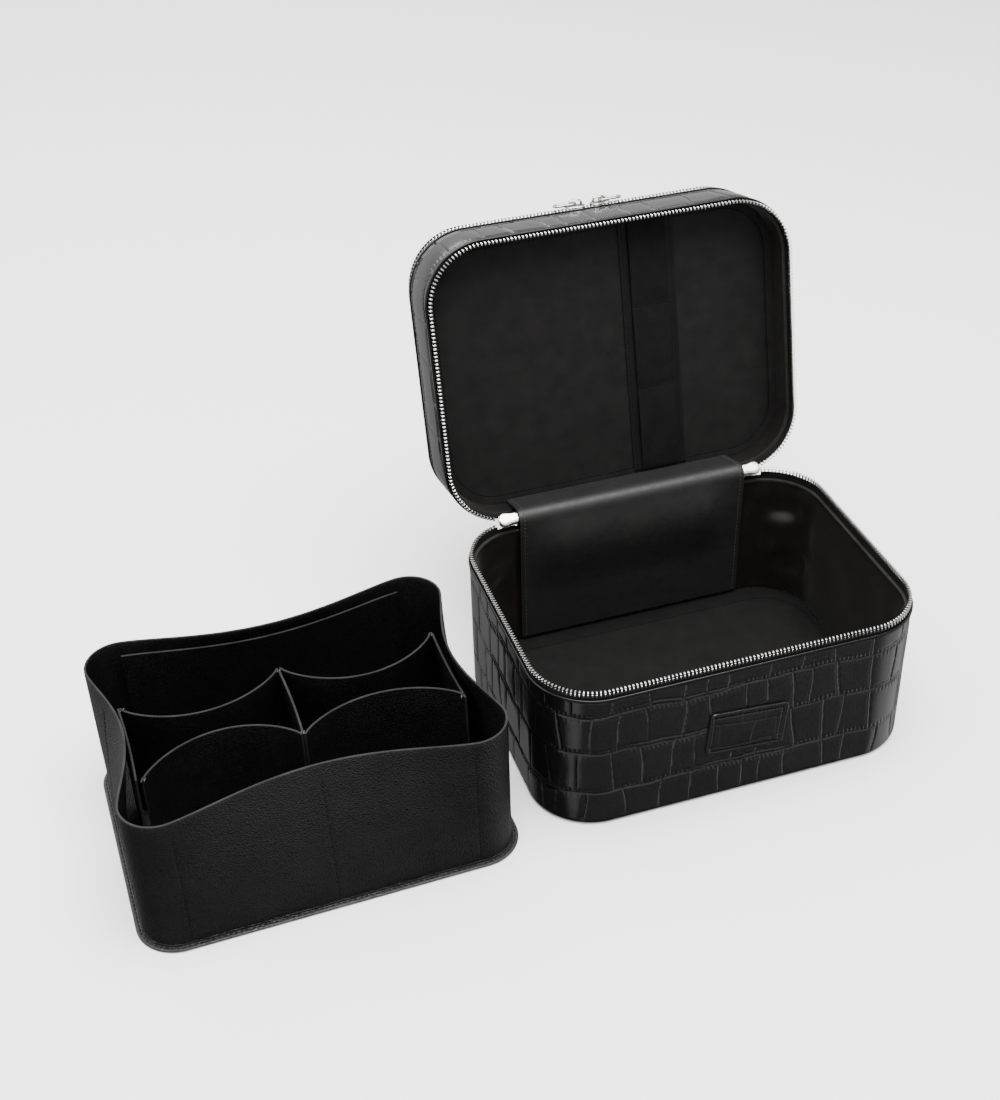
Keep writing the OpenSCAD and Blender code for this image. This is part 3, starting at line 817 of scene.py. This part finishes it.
def hinge_path(radius, belly=0.0):
    """The leather's line, floor to lid: a soft belly, then a wide roll."""
    lift = 1.8
    heights = np.linspace(7.0, SEAM_Z, 70)
    rise = np.clip((heights - 42) / (SEAM_Z - 42), 0, 1)
    bow = (lift * rise * rise * (3 - 2 * rise)
           + belly * np.sin(math.pi * rise ** 1.25) ** 1.3)
    up = list(zip(HINGE_Y - radius - bow, heights))
    turn = np.linspace(0, LID_OPEN, 22)[1:]
    far = radius + lift
    roll = [(HINGE_Y - far * math.cos(a), SEAM_Z + far * math.sin(a))
            for a in turn]
    away = np.array([math.sin(LID_OPEN), math.cos(LID_OPEN)])
    side = np.array([-math.cos(LID_OPEN), math.sin(LID_OPEN)])
    pivot = np.array([HINGE_Y, SEAM_Z])
    lid = []
    for h in np.linspace(0.8, 24.6, 24):
        r = 1 - h / 24.6
        lid.append(tuple(pivot + away * h
                         + side * (radius + lift * r * r * (3 - 2 * r))))
    raw = np.array(up + roll + lid)
    run = np.r_[0, np.cumsum(steps(raw))]
    at = np.linspace(0, run[-1], 150)
    path = np.c_[np.interp(at, run, raw[:, 0]), np.interp(at, run, raw[:, 1])]
    for _ in range(14):
        path[1:-1] = (path[:-2] + 2 * path[1:-1] + path[2:]) / 4
    return path


def hinge_leather():
    middle = HINGE_Y - PANEL_Y - PANEL_T / 2
    blend = ("case", "lid", (0, HINGE_Y - middle, SEAM_Z),
             (0, HINGE_Y - middle * math.cos(LID_OPEN),
              SEAM_Z + middle * math.sin(LID_OPEN)))
    size = (PANEL_T, -HINGE_HALF, HINGE_HALF, 84, 1.2)
    pts, faces = ribbon(hinge_path(middle), *size)
    full, _ = ribbon(hinge_path(middle, HINGE_BELLY), *size)
    # bowed in its middle, flat at its sewn edges
    inside = np.clip((HINGE_HALF - np.abs(pts[:, 0])) / 32, 0, 1)
    pts += (full - pts) * (inside * inside * (3 - 2 * inside))[:, None]
    x, z = pts[:, 0], pts[:, 2]
    below = np.clip((SEAM_Z - z) / 20, 0, 1) * np.clip((z - 7) / 15, 0, 1)
    pts[:, 1] -= 0.9 * inside * below * (
        0.3 + 0.6 * waves(x, z, 71, 70, 2, 1.4))
    obj = piece("hinge_leather", pts, faces, None, SMOOTH, "smooth_leather",
                ("hinge_panel", "hinge_fold", "lid_hinge_panel"), blend=blend)
    run = steps(hinge_path(middle)).sum()
    front = hinge_path(middle + PANEL_T / 2 + 0.08)
    for word, side in SIDES:
        line = np.c_[np.full(len(front), side * (HINGE_HALF - 3)), front]
        c, a = seam_points(line, 3.0)
        out = np.c_[np.zeros(len(a)), -a[:, 2], a[:, 1]]
        stitches(f"hinge_stitches_{word}", c, a, out, None, GREY_THREAD,
                 1.7, 0.26, blend=blend, slot="smooth_leather")


def outer_hinge():
    """The strip outside, which folds inwards between the two rims."""
    off, reach = 2.45, WELT_NEAR
    closed = [(off, h) for h in np.linspace(-24, -reach - 0.4, 10)]
    bend = [(off, h) for h in np.linspace(-reach, reach, 13)]
    top = [(off, h) for h in np.linspace(reach + 0.4, 24, 10)]
    path = []
    for y, h in closed + bend + top:
        share = min(1.0, max(0.0, (h + reach) / (2 * reach)))
        rho, phi = math.hypot(y, h), math.atan2(h, y)
        phi -= share * LID_OPEN
        path.append((HINGE_Y + rho * math.cos(phi),
                     SEAM_Z + rho * math.sin(phi)))
    start, end = path[len(closed)], path[len(closed) + len(bend) - 1]
    pts, faces = ribbon(path, 1.15, -HINGE_HALF, HINGE_HALF, 60)
    blend = ("case", "lid", (0, *start), (0, *end))
    piece("outer_hinge_leather", pts, [f[::-1] for f in faces], None, SMOOTH,
          "smooth_leather", ("back_hinge_strip", "lid_back_strip"),
          blend=blend)
    for body, z in (("case", SEAM_Z - 21.5), ("lid", 21.5)):
        row = [(x, HINGE_Y + off + 0.62, z) for x in np.linspace(-79, 79, 40)]
        sew(f"outer_hinge_stitches_{body}", row, 3.0, (0, 1, 0), body,
            THREAD, 2.0, 0.25, "smooth_leather")


# ------------------------------------------------------------ linings
def body_lining():
    """The hung lining, gathered a little at the corners."""
    s = np.linspace(0, SEAM.length, 420, endpoint=False)
    top = LINING_TOP
    z = np.linspace(BASE_TOP + 0.2, top, 46)
    p, n = SEAM.at(s)
    rows = []
    corner = np.abs(n[:, 0] * n[:, 1]) * 2
    for h in z:
        u = (h - z[0]) / (top - z[0])
        free = math.sin(math.pi * u) ** 0.6 if 0 < u < 1 else 0.0
        folds = (0.7 + 0.45 * waves(s, h, 91, 62, 2, 1.3)
                 + 1.5 * corner * waves(s, h, 95, 38, 2, 1.0))
        inward = 0.2 + free * np.clip(folds, 0, 2.8) * 2.3
        hidden = (np.abs(p[:, 0]) < HINGE_HALF + 4) & (p[:, 1] > 0)
        inward = np.where(hidden, 0.2, inward)
        rows.append(np.c_[p - n * (1.6 + inward)[:, None],
                          np.full_like(s, h)])
    back = [np.c_[p + n * (BOARD_IN - 0.02), np.full_like(s, h)]
            for h in z[::-1]]
    rows = rows + back
    faces = grid_faces(len(rows), len(s), True, True)
    obj = piece("case_lining", np.vstack(rows), faces, "case", LINING,
                "lining_cloth", ("body_lining",), smooth=0)


def padded_panel(name, track, z0, crown, body, mat, node, place=None,
                 y=0.0, wrinkle=0.25):
    """A covered board: rounded edges and a slightly crowned top."""
    thick = 2.3
    s = np.linspace(0, track.length, 260, endpoint=False)
    r = thick * 0.45
    rows = filled_rows(track, s, -r, z0, (0.004, 0.4, 0.8, 0.97))
    top = z0 + thick
    for z, turns in ((z0 + r, (-60, -30, 0)), (top - r, (0, 30, 60, 85))):
        rows += [track.ring(s, -r + r * math.cos(a), z + r * math.sin(a))
                 for a in np.radians(turns)]
    flat = track.ring(s, -r, top)
    for k in np.linspace(0.99, 0.0, 40):
        k = max(k, 0.004)
        row = flat * np.array([k, k, 1.0])
        rise = min(1.0, (1 - k) * 6)
        row[:, 2] = (top + crown * rise
                     + wrinkle * rise * waves(row[:, 0], row[:, 1], 7, 60, 3))
        rows.append(row)
    pts, faces = shell(rows)
    obj = piece(name, pts + np.array([0, y, 0]), faces, body, mat,
                "panel_cloth", (node,), place=place)


def panels():
    floor = Track(SEAM_W - 2 * FLOOR_IN, SEAM_D - FLOOR_GAP, FLOOR_R)
    # the floor pad takes the darker copy of the panel cloth: painted shade
    padded_panel("floor_pad", floor, BASE_TOP, 0.3, "case", SHADED_FLOOR_CLOTH,
                 "floor_panel", y=FLOOR_Y)
    seam = floor.ring(np.linspace(0, floor.length, 300), -2.2,
                      BASE_TOP + 2.75)
    sew("floor_pad_stitches", seam + np.array([0, FLOOR_Y, 0]), 3.2,
        (0, 0, 1), "case", THREAD, 2.1, 0.25, "panel_cloth")
    lid = Track(SEAM_W - 3.4, SEAM_D - 3.4, CORNER_R - 1.7)
    flip = (LID @ Matrix.Translation((0, 0, RECESS + 2.5))
            @ Matrix.Scale(-1, 4, (0, 0, 1)))
    padded_panel("lid_pad", lid, 0.0, 0.15, "lid", PANEL, "lid_panel",
                 place=flip, wrinkle=0.2)
    border = SEAM.ring(np.linspace(0, SEAM.length, 400), -8.6, RECESS - 0.35)
    c, a = seam_points(border[:-1], 3.0)
    clear = np.abs(c[:, 0] - STRAP_X) >= STRAP_W / 2 + 0.5
    stitches("lid_panel_stitches", c[clear], a[clear], (0, 0, -1), "lid",
             THREAD, 2.0, 0.26, slot="panel_cloth")


def strap():
    """The brush strap and the elastic sewn across it in three loops."""
    y0, y1 = STRAP_Y[0], STRAP_Y[-1]
    low = RECESS - STRAP_T
    ys = np.linspace(y0, y1, 120)
    base = np.c_[ys, np.full_like(ys, low + STRAP_T / 2)]
    pts, faces = ribbon(base, STRAP_T, STRAP_X - STRAP_W / 2,
                        STRAP_X + STRAP_W / 2, 24, 0.8)
    piece("strap_leather_band", pts, faces, "lid", STRAP, "strap_leather",
          ("brush_strap",))
    lift = np.zeros_like(ys)
    for a, b in zip(STRAP_Y, STRAP_Y[1:]):
        u = (ys - a) / (b - a)
        m = (u >= 0) & (u <= 1)
        lift[m] = 1.5 * np.sin(math.pi * u[m]) ** 0.5
    path = np.c_[ys, low - 0.45 - lift]
    pts, faces = ribbon(path, 0.9, STRAP_X - ELASTIC_W / 2,
                        STRAP_X + ELASTIC_W / 2, 30, 0.5)
    pts[:, 2] += 0.07 * np.sin((pts[:, 0] - STRAP_X) * math.tau / 1.7)
    obj = piece("strap_elastic", pts, faces, "lid", ELASTIC, "elastic",
                ("brush_elastic",))
    half = ELASTIC_W / 2 - 0.5
    for i, y in enumerate(STRAP_Y[1:3]):
        for j, gap in enumerate((-1.1, 1.1)):
            row = [(STRAP_X + k, y + gap, low - 1.25)
                   for k in np.linspace(-half, half, 12)]
            sew(f"elastic_stitches_{i}{j}", row, 2.2, (0, 0, -1), "lid",
                THREAD, 1.5, 0.26, "elastic")
    for word, side in SIDES:
        row = [(STRAP_X + side * (STRAP_W / 2 - 2.2), y, low - 0.1)
               for y in np.linspace(y0 + 1, y1 - 1, 90)]
        sew(f"strap_stitches_{word}", row, 2.8, (0, 0, -1), "lid", THREAD,
            1.9, 0.26, "strap_leather")


# ------------------------------------------------------------ badge
def badge():
    w, h, rise = BADGE_W, BADGE_H, BADGE_RISE
    edge = Track(w, h, 3.0)
    s = np.linspace(0, edge.length, 340, endpoint=False)
    rows = filled_rows(edge, s, 0.0, 0.02, (0.01, 0.5, 0.97, 1.0))
    rows += [edge.ring(s, -0.6 + 0.6 * math.cos(a),
                       rise - 0.6 + 0.6 * math.sin(a))
             for a in np.radians((0, 30, 60, 88))]
    flat = edge.ring(s, -0.6, rise)
    for k in np.linspace(0.995, 0.0, 60):
        k = max(k, 0.01)
        row = flat * np.array([k, k, 1.0])
        depth = croc(row[:, 0] + 40, row[:, 1], [-9.0, 8.0], 17.0, 5)
        inset = np.minimum(w / 2 - np.abs(row[:, 0]),
                           h / 2 - np.abs(row[:, 1]))
        groove = 0.3 * np.exp(-((inset - 3.5) / 0.7) ** 2)
        row[:, 2] = rise + 0.25 * (1 - k) - 0.3 * depth - groove
        rows.append(row)
    turn = (Matrix.Translation((1.7, -SEAM_D / 2 - 1.5, 51.0))
            @ Matrix.Rotation(math.radians(4.6), 4, "Y")
            @ Matrix.Rotation(math.radians(90), 4, "X"))
    piece("badge_leather", *shell(rows), "case", CROC, "croc_leather",
          ("badge_patch",), place=turn)
    inner = Track(w - 7, h - 7, 1.0)
    line = inner.ring(np.linspace(0, inner.length, 200), 0.0, rise - 0.05)
    sew("badge_stitches", line, 2.6, (0, 0, 1), "case", THREAD, 1.7, 0.24,
        "croc_leather", turn)


# ------------------------------------------------------------ handle
def chapes():
    """A leather tab folded over each ring's bar, sewn and riveted."""
    line = [(-14.0, 0.82), (-11.0, 0.8), (-8.0, 0.8), (-5.2, 0.82),
            (-3.4, 1.2), (-2.0, 2.2), (-1.2, 3.3)]
    for a in np.radians(np.linspace(242, -62, 25)):
        line.append((2.5 * math.cos(a), RING_Z + 2.5 * math.sin(a)))
    line += [(-y, z) for y, z in line[6::-1]]
    for word, side in SIDES:
        x0 = side * HANDLE_SPAN / 2
        pts, faces = ribbon(line, 1.6, x0 - 8, x0 + 8, 40, 1.0)
        tip = np.clip((np.abs(pts[:, 1]) - 9.0) / 5.0, 0, 1)
        pts[:, 0] = x0 + (pts[:, 0] - x0) * np.sqrt(1 - 0.72 * tip * tip)
        pts[:, 2] += COVER_TOP
        piece(f"handle_chape_{word}", pts, [f[::-1] for f in faces],
              "top_cover", SMOOTH, "smooth_leather", ("handle_chapes",))
        for end in (-1, 1):
            row = [(x0 + x, end * y, COVER_TOP + 1.62) for x, y in
                   [(6.2, 5.0), (6.2, 8.5), (5.6, 10.4), (4.4, 12.0),
                    (-4.4, 12.0), (-5.6, 10.4), (-6.2, 8.5), (-6.2, 5.0)]]
            where = "front" if end < 0 else "back"
            sew(f"chape_stitches_{word}_{where}", row, 2.4, (0, 0, 1),
                "top_cover", THREAD, 1.7, 0.24, "smooth_leather")
    rivets()


def rivets():
    """Domed heads, one in each end of a tab."""
    profile = [(2.5, 1.45), (2.5, 1.75), (2.3, 2.0), (1.8, 2.16), (1.2, 2.26),
               (0.6, 2.32), (0.02, 2.34)]
    sides = 24
    pts, faces = [], []
    for side in (-1, 1):
        for end in (-1, 1):
            base = len(pts)
            for r, z in profile:
                for i in range(sides):
                    a = math.tau * i / sides
                    pts.append((side * HANDLE_SPAN / 2 + r * math.cos(a),
                                end * 10.5 + r * math.sin(a), COVER_TOP + z))
            faces += grid_faces(len(profile), sides, True, base=base)
            faces += caps(len(profile), sides, base)
    piece("chape_rivet_heads", pts, faces, "top_cover", POLISHED, "nickel",
          ("chape_rivets",), smooth=50)


def handle():
    """A padded grip whose flat ends are folded round the rings."""
    half, bend = HANDLE_SPAN / 2, 14.0
    path = [(half, y) for y in np.linspace(RING_REACH - 3.4,
                                           HANDLE_REACH - bend, 30)]
    path += [(half - bend + bend * math.cos(a),
              HANDLE_REACH - bend + bend * math.sin(a))
             for a in np.linspace(0, math.pi / 2, 14)[1:]]
    path += [(x, HANDLE_REACH) for x in np.linspace(half - bend, 0, 18)[1:]]
    path = np.array(path)
    path = np.vstack([path, (path * [-1, 1])[::-1][1:]])
    t = np.gradient(path, axis=0)
    t /= np.linalg.norm(t, axis=1)[:, None]
    out = np.c_[t[:, 1], -t[:, 0]]
    run = np.r_[0, np.cumsum(steps(path))]
    near = np.minimum(run, run[-1] - run)
    pts, sides, inner = [], 28, []
    for c, o, d in zip(path, out, near):
        mix = min(1.0, max(0.0, (d - 9) / 12))
        mix = mix * mix * (3 - 2 * mix)
        tip = math.sqrt(max(0.04, 1 - max(0.0, (3.4 - d) / 3.4) ** 2))
        a, b = 6.9 + (4.7 - 6.9) * mix, (3.5 + (4.8 - 3.5) * mix) * tip
        power = 2 / (5.0 - 2.9 * mix)
        for k in range(sides):
            w = math.tau * k / sides
            u = a * bent(math.cos(w), power)
            v = b * bent(math.sin(w), power)
            pts.append((c[0] + o[0] * u, c[1] + o[1] * u,
                        COVER_TOP + RING_Z + v))
        inner.append((c[0] - o[0] * a, c[1] - o[1] * a,
                      COVER_TOP + RING_Z))
    faces = (grid_faces(len(path), sides, True)
             + caps(len(path), sides))
    piece("handle_grip", pts, [f[::-1] for f in faces], "handle", SMOOTH,
          "smooth_leather", ("carry_handle",))
    line = np.array(inner)[near > 20]
    c, a = seam_points(line, 3.2)
    ahead = np.c_[a[:, 1], -a[:, 0], np.zeros(len(a))]
    stitches("handle_grip_stitches", c, a, -ahead, "handle", THREAD, 2.2,
             0.32, slot="smooth_leather")


# ------------------------------------------------------------ insert
def plan(offset, bows, steps=70):
    """The insert wall's outline; bows are back, right, front and left."""
    sx, sy = WALL_A - WALL_R, WALL_B - WALL_R
    out = []

    def side(k, length, far):
        us = np.linspace(-1, 1, 2 * steps + 1)
        return [(u * length, far - offset - bows[k] * (1 - u * u) ** 1.5)
                for u in us]

    def corner(cx, cy, a0):
        for i in range(1, 12):
            a = math.radians(a0 - 90 * i / 12)
            out.append((cx + (WALL_R - offset) * math.cos(a),
                        cy + (WALL_R - offset) * math.sin(a)))

    out += [(x, y) for x, y in side(0, sx, WALL_B)]
    corner(sx, sy, 90)
    out += [(y, -x) for x, y in side(1, sy, WALL_A)]
    corner(sx, -sy, 0)
    out += [(-x, -y) for x, y in side(2, sx, WALL_B)]
    corner(-sx, -sy, -90)
    out += [(-y, x) for x, y in side(3, sy, WALL_A)]
    corner(-sx, sy, 180)
    return np.array(out)


def bowed(offset, t):
    """The wall's outline at a share t of its height."""
    return plan(offset, [b * t ** 1.5 for b in BOWS])


def insert_wall():
    ts = np.linspace(0, 1, 26)
    outer = [bowed(0.0, t) for t in ts]
    inner = [bowed(SHEET_T, t) for t in ts]
    zs = INSERT_BASE_T + ts * (TOP_Z - INSERT_BASE_T)
    cols = len(outer[0])
    rows = []
    for t, z, o in zip(ts, zs, outer):
        o = o.copy()
        reach = np.clip((0.9 - t) / 0.02, 0, 1)
        for axis, far, places in ((0, WALL_A - WALL_R, (-88.0, 0.0, 88.0)),
                                  (1, WALL_B - WALL_R, (-31.0, 35.0))):
            on = np.abs(o[:, axis]) < far
            for place in places:
                sink = 0.38 * reach * np.exp(
                    -((o[on, axis] - place) / 0.85) ** 2)
                o[on, 1 - axis] -= np.sign(o[on, 1 - axis]) * sink
        rows.append(np.c_[o, np.full(cols, z)])
    mid = (outer[-1] + inner[-1]) / 2
    for line in (outer[-1], inner[-1]):
        rows.append(np.c_[line * 0.8 + mid * 0.2,
                          np.full(cols, TOP_Z + 0.35)])
    rows += [np.c_[o, np.full(cols, z)]
             for z, o in zip(zs[::-1], inner[::-1])]
    faces = grid_faces(len(rows), cols, True, True)
    kinds = [0] * len(faces)
    for i in range(25, 28):
        for j in range(cols):
            kinds[i * cols + j] = 1
    obj = piece("insert_wall_sheet", np.vstack(rows), faces, "insert",
                PEBBLE, "leatherette", ("insert_wall",),
                mats=[PEBBLE, CUT_EDGE], face_mats=kinds)


def thin_wall(name, bottom, top, z1, node, power=1.0):
    """A standing sheet between two plan lines, with a pale cut edge."""
    n, z0 = len(bottom), INSERT_BASE_T + 0.1
    ts = np.linspace(0, 1, 18)
    front, back = [], []
    for t in ts:
        line = bottom + (top - bottom) * t ** power
        d = np.gradient(line, axis=0)
        d /= np.linalg.norm(d, axis=1)[:, None]
        normal = np.c_[-d[:, 1], d[:, 0]] * SHEET_T / 2
        z = np.full(n, z0 + (z1 - z0) * t)
        front.append(np.c_[line + normal, z])
        back.append(np.c_[line - normal, z])
    lip = [front[-1] * 0.75 + back[-1] * 0.25,
           front[-1] * 0.25 + back[-1] * 0.75]
    for row in lip:
        row[:, 2] += 0.3
    rows = front + lip + back[::-1]
    m = len(rows)
    faces = grid_faces(m, n, False, True)
    kinds = [1 if 17 <= i < 20 else 0 for i in range(m) for _ in range(n - 1)]
    for j, flip in ((0, True), (n - 1, False)):
        for i in range(len(ts) - 1):
            a, b = i * n + j, (i + 1) * n + j
            c, d = (m - 2 - i) * n + j, (m - 1 - i) * n + j
            f = (a, b, c, d)
            faces.append(f if flip else f[::-1])
            kinds.append(1)
        i = len(ts) - 1
        f = (i * n + j, (i + 1) * n + j, (i + 2) * n + j, (i + 3) * n + j)
        faces.append(f if flip else f[::-1])
        kinds.append(1)
    faces = [f[::-1] for f in faces]
    obj = piece(name, np.vstack(rows), faces, "insert", PEBBLE,
                "leatherette", (node,), mats=[PEBBLE, CUT_EDGE],
                face_mats=kinds)


def sagging(a, b, depth):
    """A round sag between two seams."""
    u = np.linspace(0, 1, 40)
    a, b = np.array(a), np.array(b)
    line = a + (b - a) * u[:, None]
    line[:, 1] += depth * (1 - (2 * u - 1) ** 2) ** 0.8
    return line


def insert_sheets():
    g = SHEET_T / 2 + 0.15
    for word, a, b, depth in (
            ("back_left", (-98.4, 35.2), (-g, 37.6), -22.0),
            ("back_right", (g, 37.6), (98.4, 36.6), -25.0),
            ("front_left", (-96.0, -32.0), (-g, -26.9), 24.0),
            ("front_right", (g, -27.6), (99.5, -28.0), 20.5)):
        thin_wall(f"divider_{word}", sagging(a, b, depth * 0.82),
                  sagging(a, b, depth), SHEET_TOP,
                  word.split("_")[0] + "_dividers")
    ys = np.linspace(-26.0, 36.0, 30)
    line = np.c_[np.zeros_like(ys), ys]
    top = line + np.c_[0.9 * np.sin((ys + 26) / 62 * math.pi), 0 * ys]
    thin_wall("divider_centre", line, top, SHEET_TOP - 0.6,
              "centre_divider")
    ys = np.linspace(-31.0, 35.4, 30)
    x = 99.4 - 0.9 * np.sin(math.pi * (ys + 31) / 66.4)
    for word, side in SIDES:
        line = np.c_[side * x, ys]
        thin_wall(f"divider_side_{word}", line + [side * 1.2, 0], line,
                  SHEET_TOP, "side_dividers")


def pockets():
    half = WALL_A - WALL_R - 2
    xs = np.linspace(-half, half, 60)
    u = xs / (WALL_A - WALL_R)
    for word, side, bow in (("back", 1, BOWS[0]), ("front", -1, BOWS[2])):
        lines = []
        for t in (0.0, 0.9):
            y = WALL_B - 3.5 - bow * t ** 1.5 * (1 - u * u) ** 1.5
            lines.append(np.c_[xs, side * y])
        thin_wall(f"{word}_pocket_sheet", *lines, 88.0,
                  f"insert_{word}_pocket", 1.5)


def wall_line(axis, at, side, offset, end):
    """A line up the insert's wall; axis 0 runs up the back or front."""
    far, across = ((WALL_B, WALL_A), (WALL_A, WALL_B))[axis]
    bow = BOWS[axis if side > 0 else axis + 2]
    u = at / (across - WALL_R)
    pts = []
    for t in np.linspace(0.0, 1.0, 40):
        t = 0.03 + (end - 0.03) * t
        z = INSERT_BASE_T + t * (TOP_Z - INSERT_BASE_T)
        out = side * (far - offset
                      - bow * t ** 1.5 * max(0, 1 - u * u) ** 1.5)
        pts.append((at, out, z) if axis == 0 else (out, at, z))
    return pts


def insert_stitches():
    """Vertical seams through the wall and round the flange."""
    seams = [(0, x, side, 0.22, 0.9) for side in (-1, 1)
             for x in (-88.0, 88.0, 0.0)]
    seams += [(1, y, side, 0.22, 0.88) for side in (-1, 1)
              for y in (35.0, -31.0)]
    seams += [(0, x, side, 4.3, 0.88) for side in (1, -1)
              for x in (-85.5, 85.5)]
    for k, (axis, at, side, offset, end) in enumerate(seams):
        face = -side if offset > 1 else side
        out = (0, face, 0) if axis == 0 else (face, 0, 0)
        sew(f"insert_seam_{k:02d}", wall_line(axis, at, side, offset, end),
            3.1, out, "insert", THREAD, 2.1, 0.3, "leatherette")
    tacks = [(-0.2, 36.2), (-0.2, -25.2), (98.0, 35.4), (98.6, -28.4),
             (-97.4, 34.2), (-95.4, -31.0)]
    centres = [(x + k, y, 84.4) for x, y in tacks for k in (-0.8, 0.9)]
    stitches("divider_tacks", centres, (0.35, 1, 0), (0, 0, 1), "insert",
             GREY_THREAD, 3.4, 0.45, slot="leatherette")
    foot = Track(2 * WALL_A + 3.6, 2 * WALL_B + 3.6, WALL_R + 1.8)
    line = foot.ring(np.linspace(0, foot.length, 400), 0.0, 1.62)
    sew("insert_flange_stitches", line, 3.4, (0, 0, 1), "insert", THREAD,
        2.3, 0.3, "flange_leatherette")


def insert_flange():
    """The base's border: grained on top in a lighter leatherette, painted
    light over the shade at the insert's foot, with a pale cut edge below.
    """
    edge = Track(2 * WALL_A + 8, 2 * WALL_B + 8, WALL_R + 4)
    s = np.linspace(0, edge.length, 560, endpoint=False)
    section = [(-2.96, 0.02), (-0.25, 0.02), (0.0, 0.1), (0.0, 0.55),
               (-0.02, 0.62), (0.0, 1.1), (-0.2, 1.45), (-0.6, 1.6),
               (-1.6, 1.6), (-2.2, 1.42), (-2.96, 1.6)]
    pts, faces = swept(edge, s, section)
    kinds = [1 if f // len(s) < 4 else 0 for f in range(len(faces))]
    piece("insert_flange_border", pts, faces, "insert", LIT_FLANGE,
          "flange_leatherette", ("insert_flange",),
          mats=[LIT_FLANGE, PALE_EDGE], face_mats=kinds)


# ------------------------------------------------------------ assembly
body_shell()
lid_shell()
cover_shell()
welts()
chain("body", SEAM, CHAIN_END + 1, -1, SEAM_Z, "case")
chain("lid", SEAM, CHAIN_END + 1, 1, 0.0, "lid")
chain("band", COVER, CHAIN_END, -1, BAND_H, "lid")
chain("cover", COVER, CHAIN_END, 1, BAND_H, "top_cover")
sliders()
hinge_leather()
outer_hinge()
body_lining()
panels()
strap()
badge()
insert_wall()
insert_sheets()
pockets()
insert_stitches()
insert_flange()
chapes()
handle()


# ------------------------------------------------------------ studio
def shade(tree):
    """A bright room above and dark cloths low around the table."""
    g = Nodes(tree)
    back = tree.nodes["Background"]
    back.inputs["Color"].default_value = (1, 1, 1, 1)
    where = g.node("TexCoord").outputs["Generated"]

    def ramp(value, a, b, low, high):
        n = g.node("MapRange", From_Min=a, From_Max=b, To_Min=low,
                   To_Max=high, Value=value)
        n.interpolation_type = "SMOOTHSTEP"
        return n.outputs["Result"]

    def facing(x, y, z):
        n = g.node("VectorMath")
        n.operation = "DOT_PRODUCT"
        g.put(n.inputs[0], where)
        g.put(n.inputs[1], Vector((x, y, z)).normalized())
        return n.outputs["Value"]

    axes = g.node("SeparateXYZ", Vector=where)
    above = ramp(axes.outputs["Z"], -0.05, 0.5, 0.0, 1.0)
    streak = ramp(facing(-0.62, -0.55, -0.56), 0.965, 0.99, 0.0, 0.75)
    dark_side = ramp(facing(-0.8, 0.05, -0.6), 0.75, 0.95, 1.0, 0.2)
    below = g.maths("MULTIPLY", dark_side,
                    ramp(axes.outputs["Z"], -0.95, -0.1, 0.06, 0.85))
    below = g.maths("ADD", streak, below)
    glow = ramp(facing(0.85, -0.15, -0.45), 0.8, 0.97, 0.0, 0.75)
    below = g.maths("ADD", below, glow)
    high = g.maths("MULTIPLY", above, 1.3)
    low = g.maths("MULTIPLY", g.maths("SUBTRACT", 1.0, above), below)
    g.put(back.inputs["Strength"], g.maths("ADD", high, low))


def studio():
    half = 4.0
    mesh = bpy.data.meshes.new("studio_floor")
    mesh.from_pydata([(-half, -half, 0), (half, -half, 0), (half, half, 0),
                      (-half, half, 0)], [], [(0, 1, 2, 3)])
    g = Graph("studio_paper", (0.9, 0.9, 0.9), 0.7)
    g.bsdf.inputs["Specular IOR Level"].default_value = 0.1
    mesh.materials.append(g.mat)
    floor = bpy.data.objects.new("studio_floor", mesh)
    floor.location.z = -0.0004
    bpy.context.scene.collection.objects.link(floor)
    floor.visible_glossy = False
    world = bpy.data.worlds.new("studio_world")
    world.use_nodes = True
    shade(world.node_tree)
    bpy.context.scene.world = world
    middle = Vector((-0.09, 0.02, 0.09))
    for name, at, size, power in (
            ("top_box", (0.0, -0.35, 2.0), 1.6, 130.0),
            ("back_box", (-0.5, 1.7, 1.3), 1.5, 20.0),
            ("left_box", (-1.9, 0.5, 1.2), 1.0, 25.0)):
        data = bpy.data.lights.new(name, "AREA")
        data.size = size
        data.energy = power
        lamp = bpy.data.objects.new(name, data)
        lamp.location = at
        lamp.rotation_euler = (middle - Vector(at)).to_track_quat(
            "-Z", "Y").to_euler()
        bpy.context.scene.collection.objects.link(lamp)


def camera():
    az, el, roll = (math.radians(v) for v in CAMERA_TURN)
    back = Vector((math.sin(az) * math.cos(el), -math.cos(az) * math.cos(el),
                   math.sin(el)))
    right = Vector((math.cos(az), math.sin(az), 0))
    up = back.cross(right)
    r2 = right * math.cos(roll) + up * math.sin(roll)
    u2 = up * math.cos(roll) - right * math.sin(roll)
    data = bpy.data.cameras.new("photo_camera")
    data.sensor_fit = "VERTICAL"
    data.sensor_height = SENSOR
    data.lens = LENS
    data.clip_start = 0.05
    cam = bpy.data.objects.new("photo_camera", data)
    m = Matrix((r2, u2, back)).transposed().to_4x4()
    m.translation = Vector(CAMERA_AT)
    cam.matrix_world = m
    bpy.context.scene.collection.objects.link(cam)
    bpy.context.scene.camera = cam


studio()
camera()
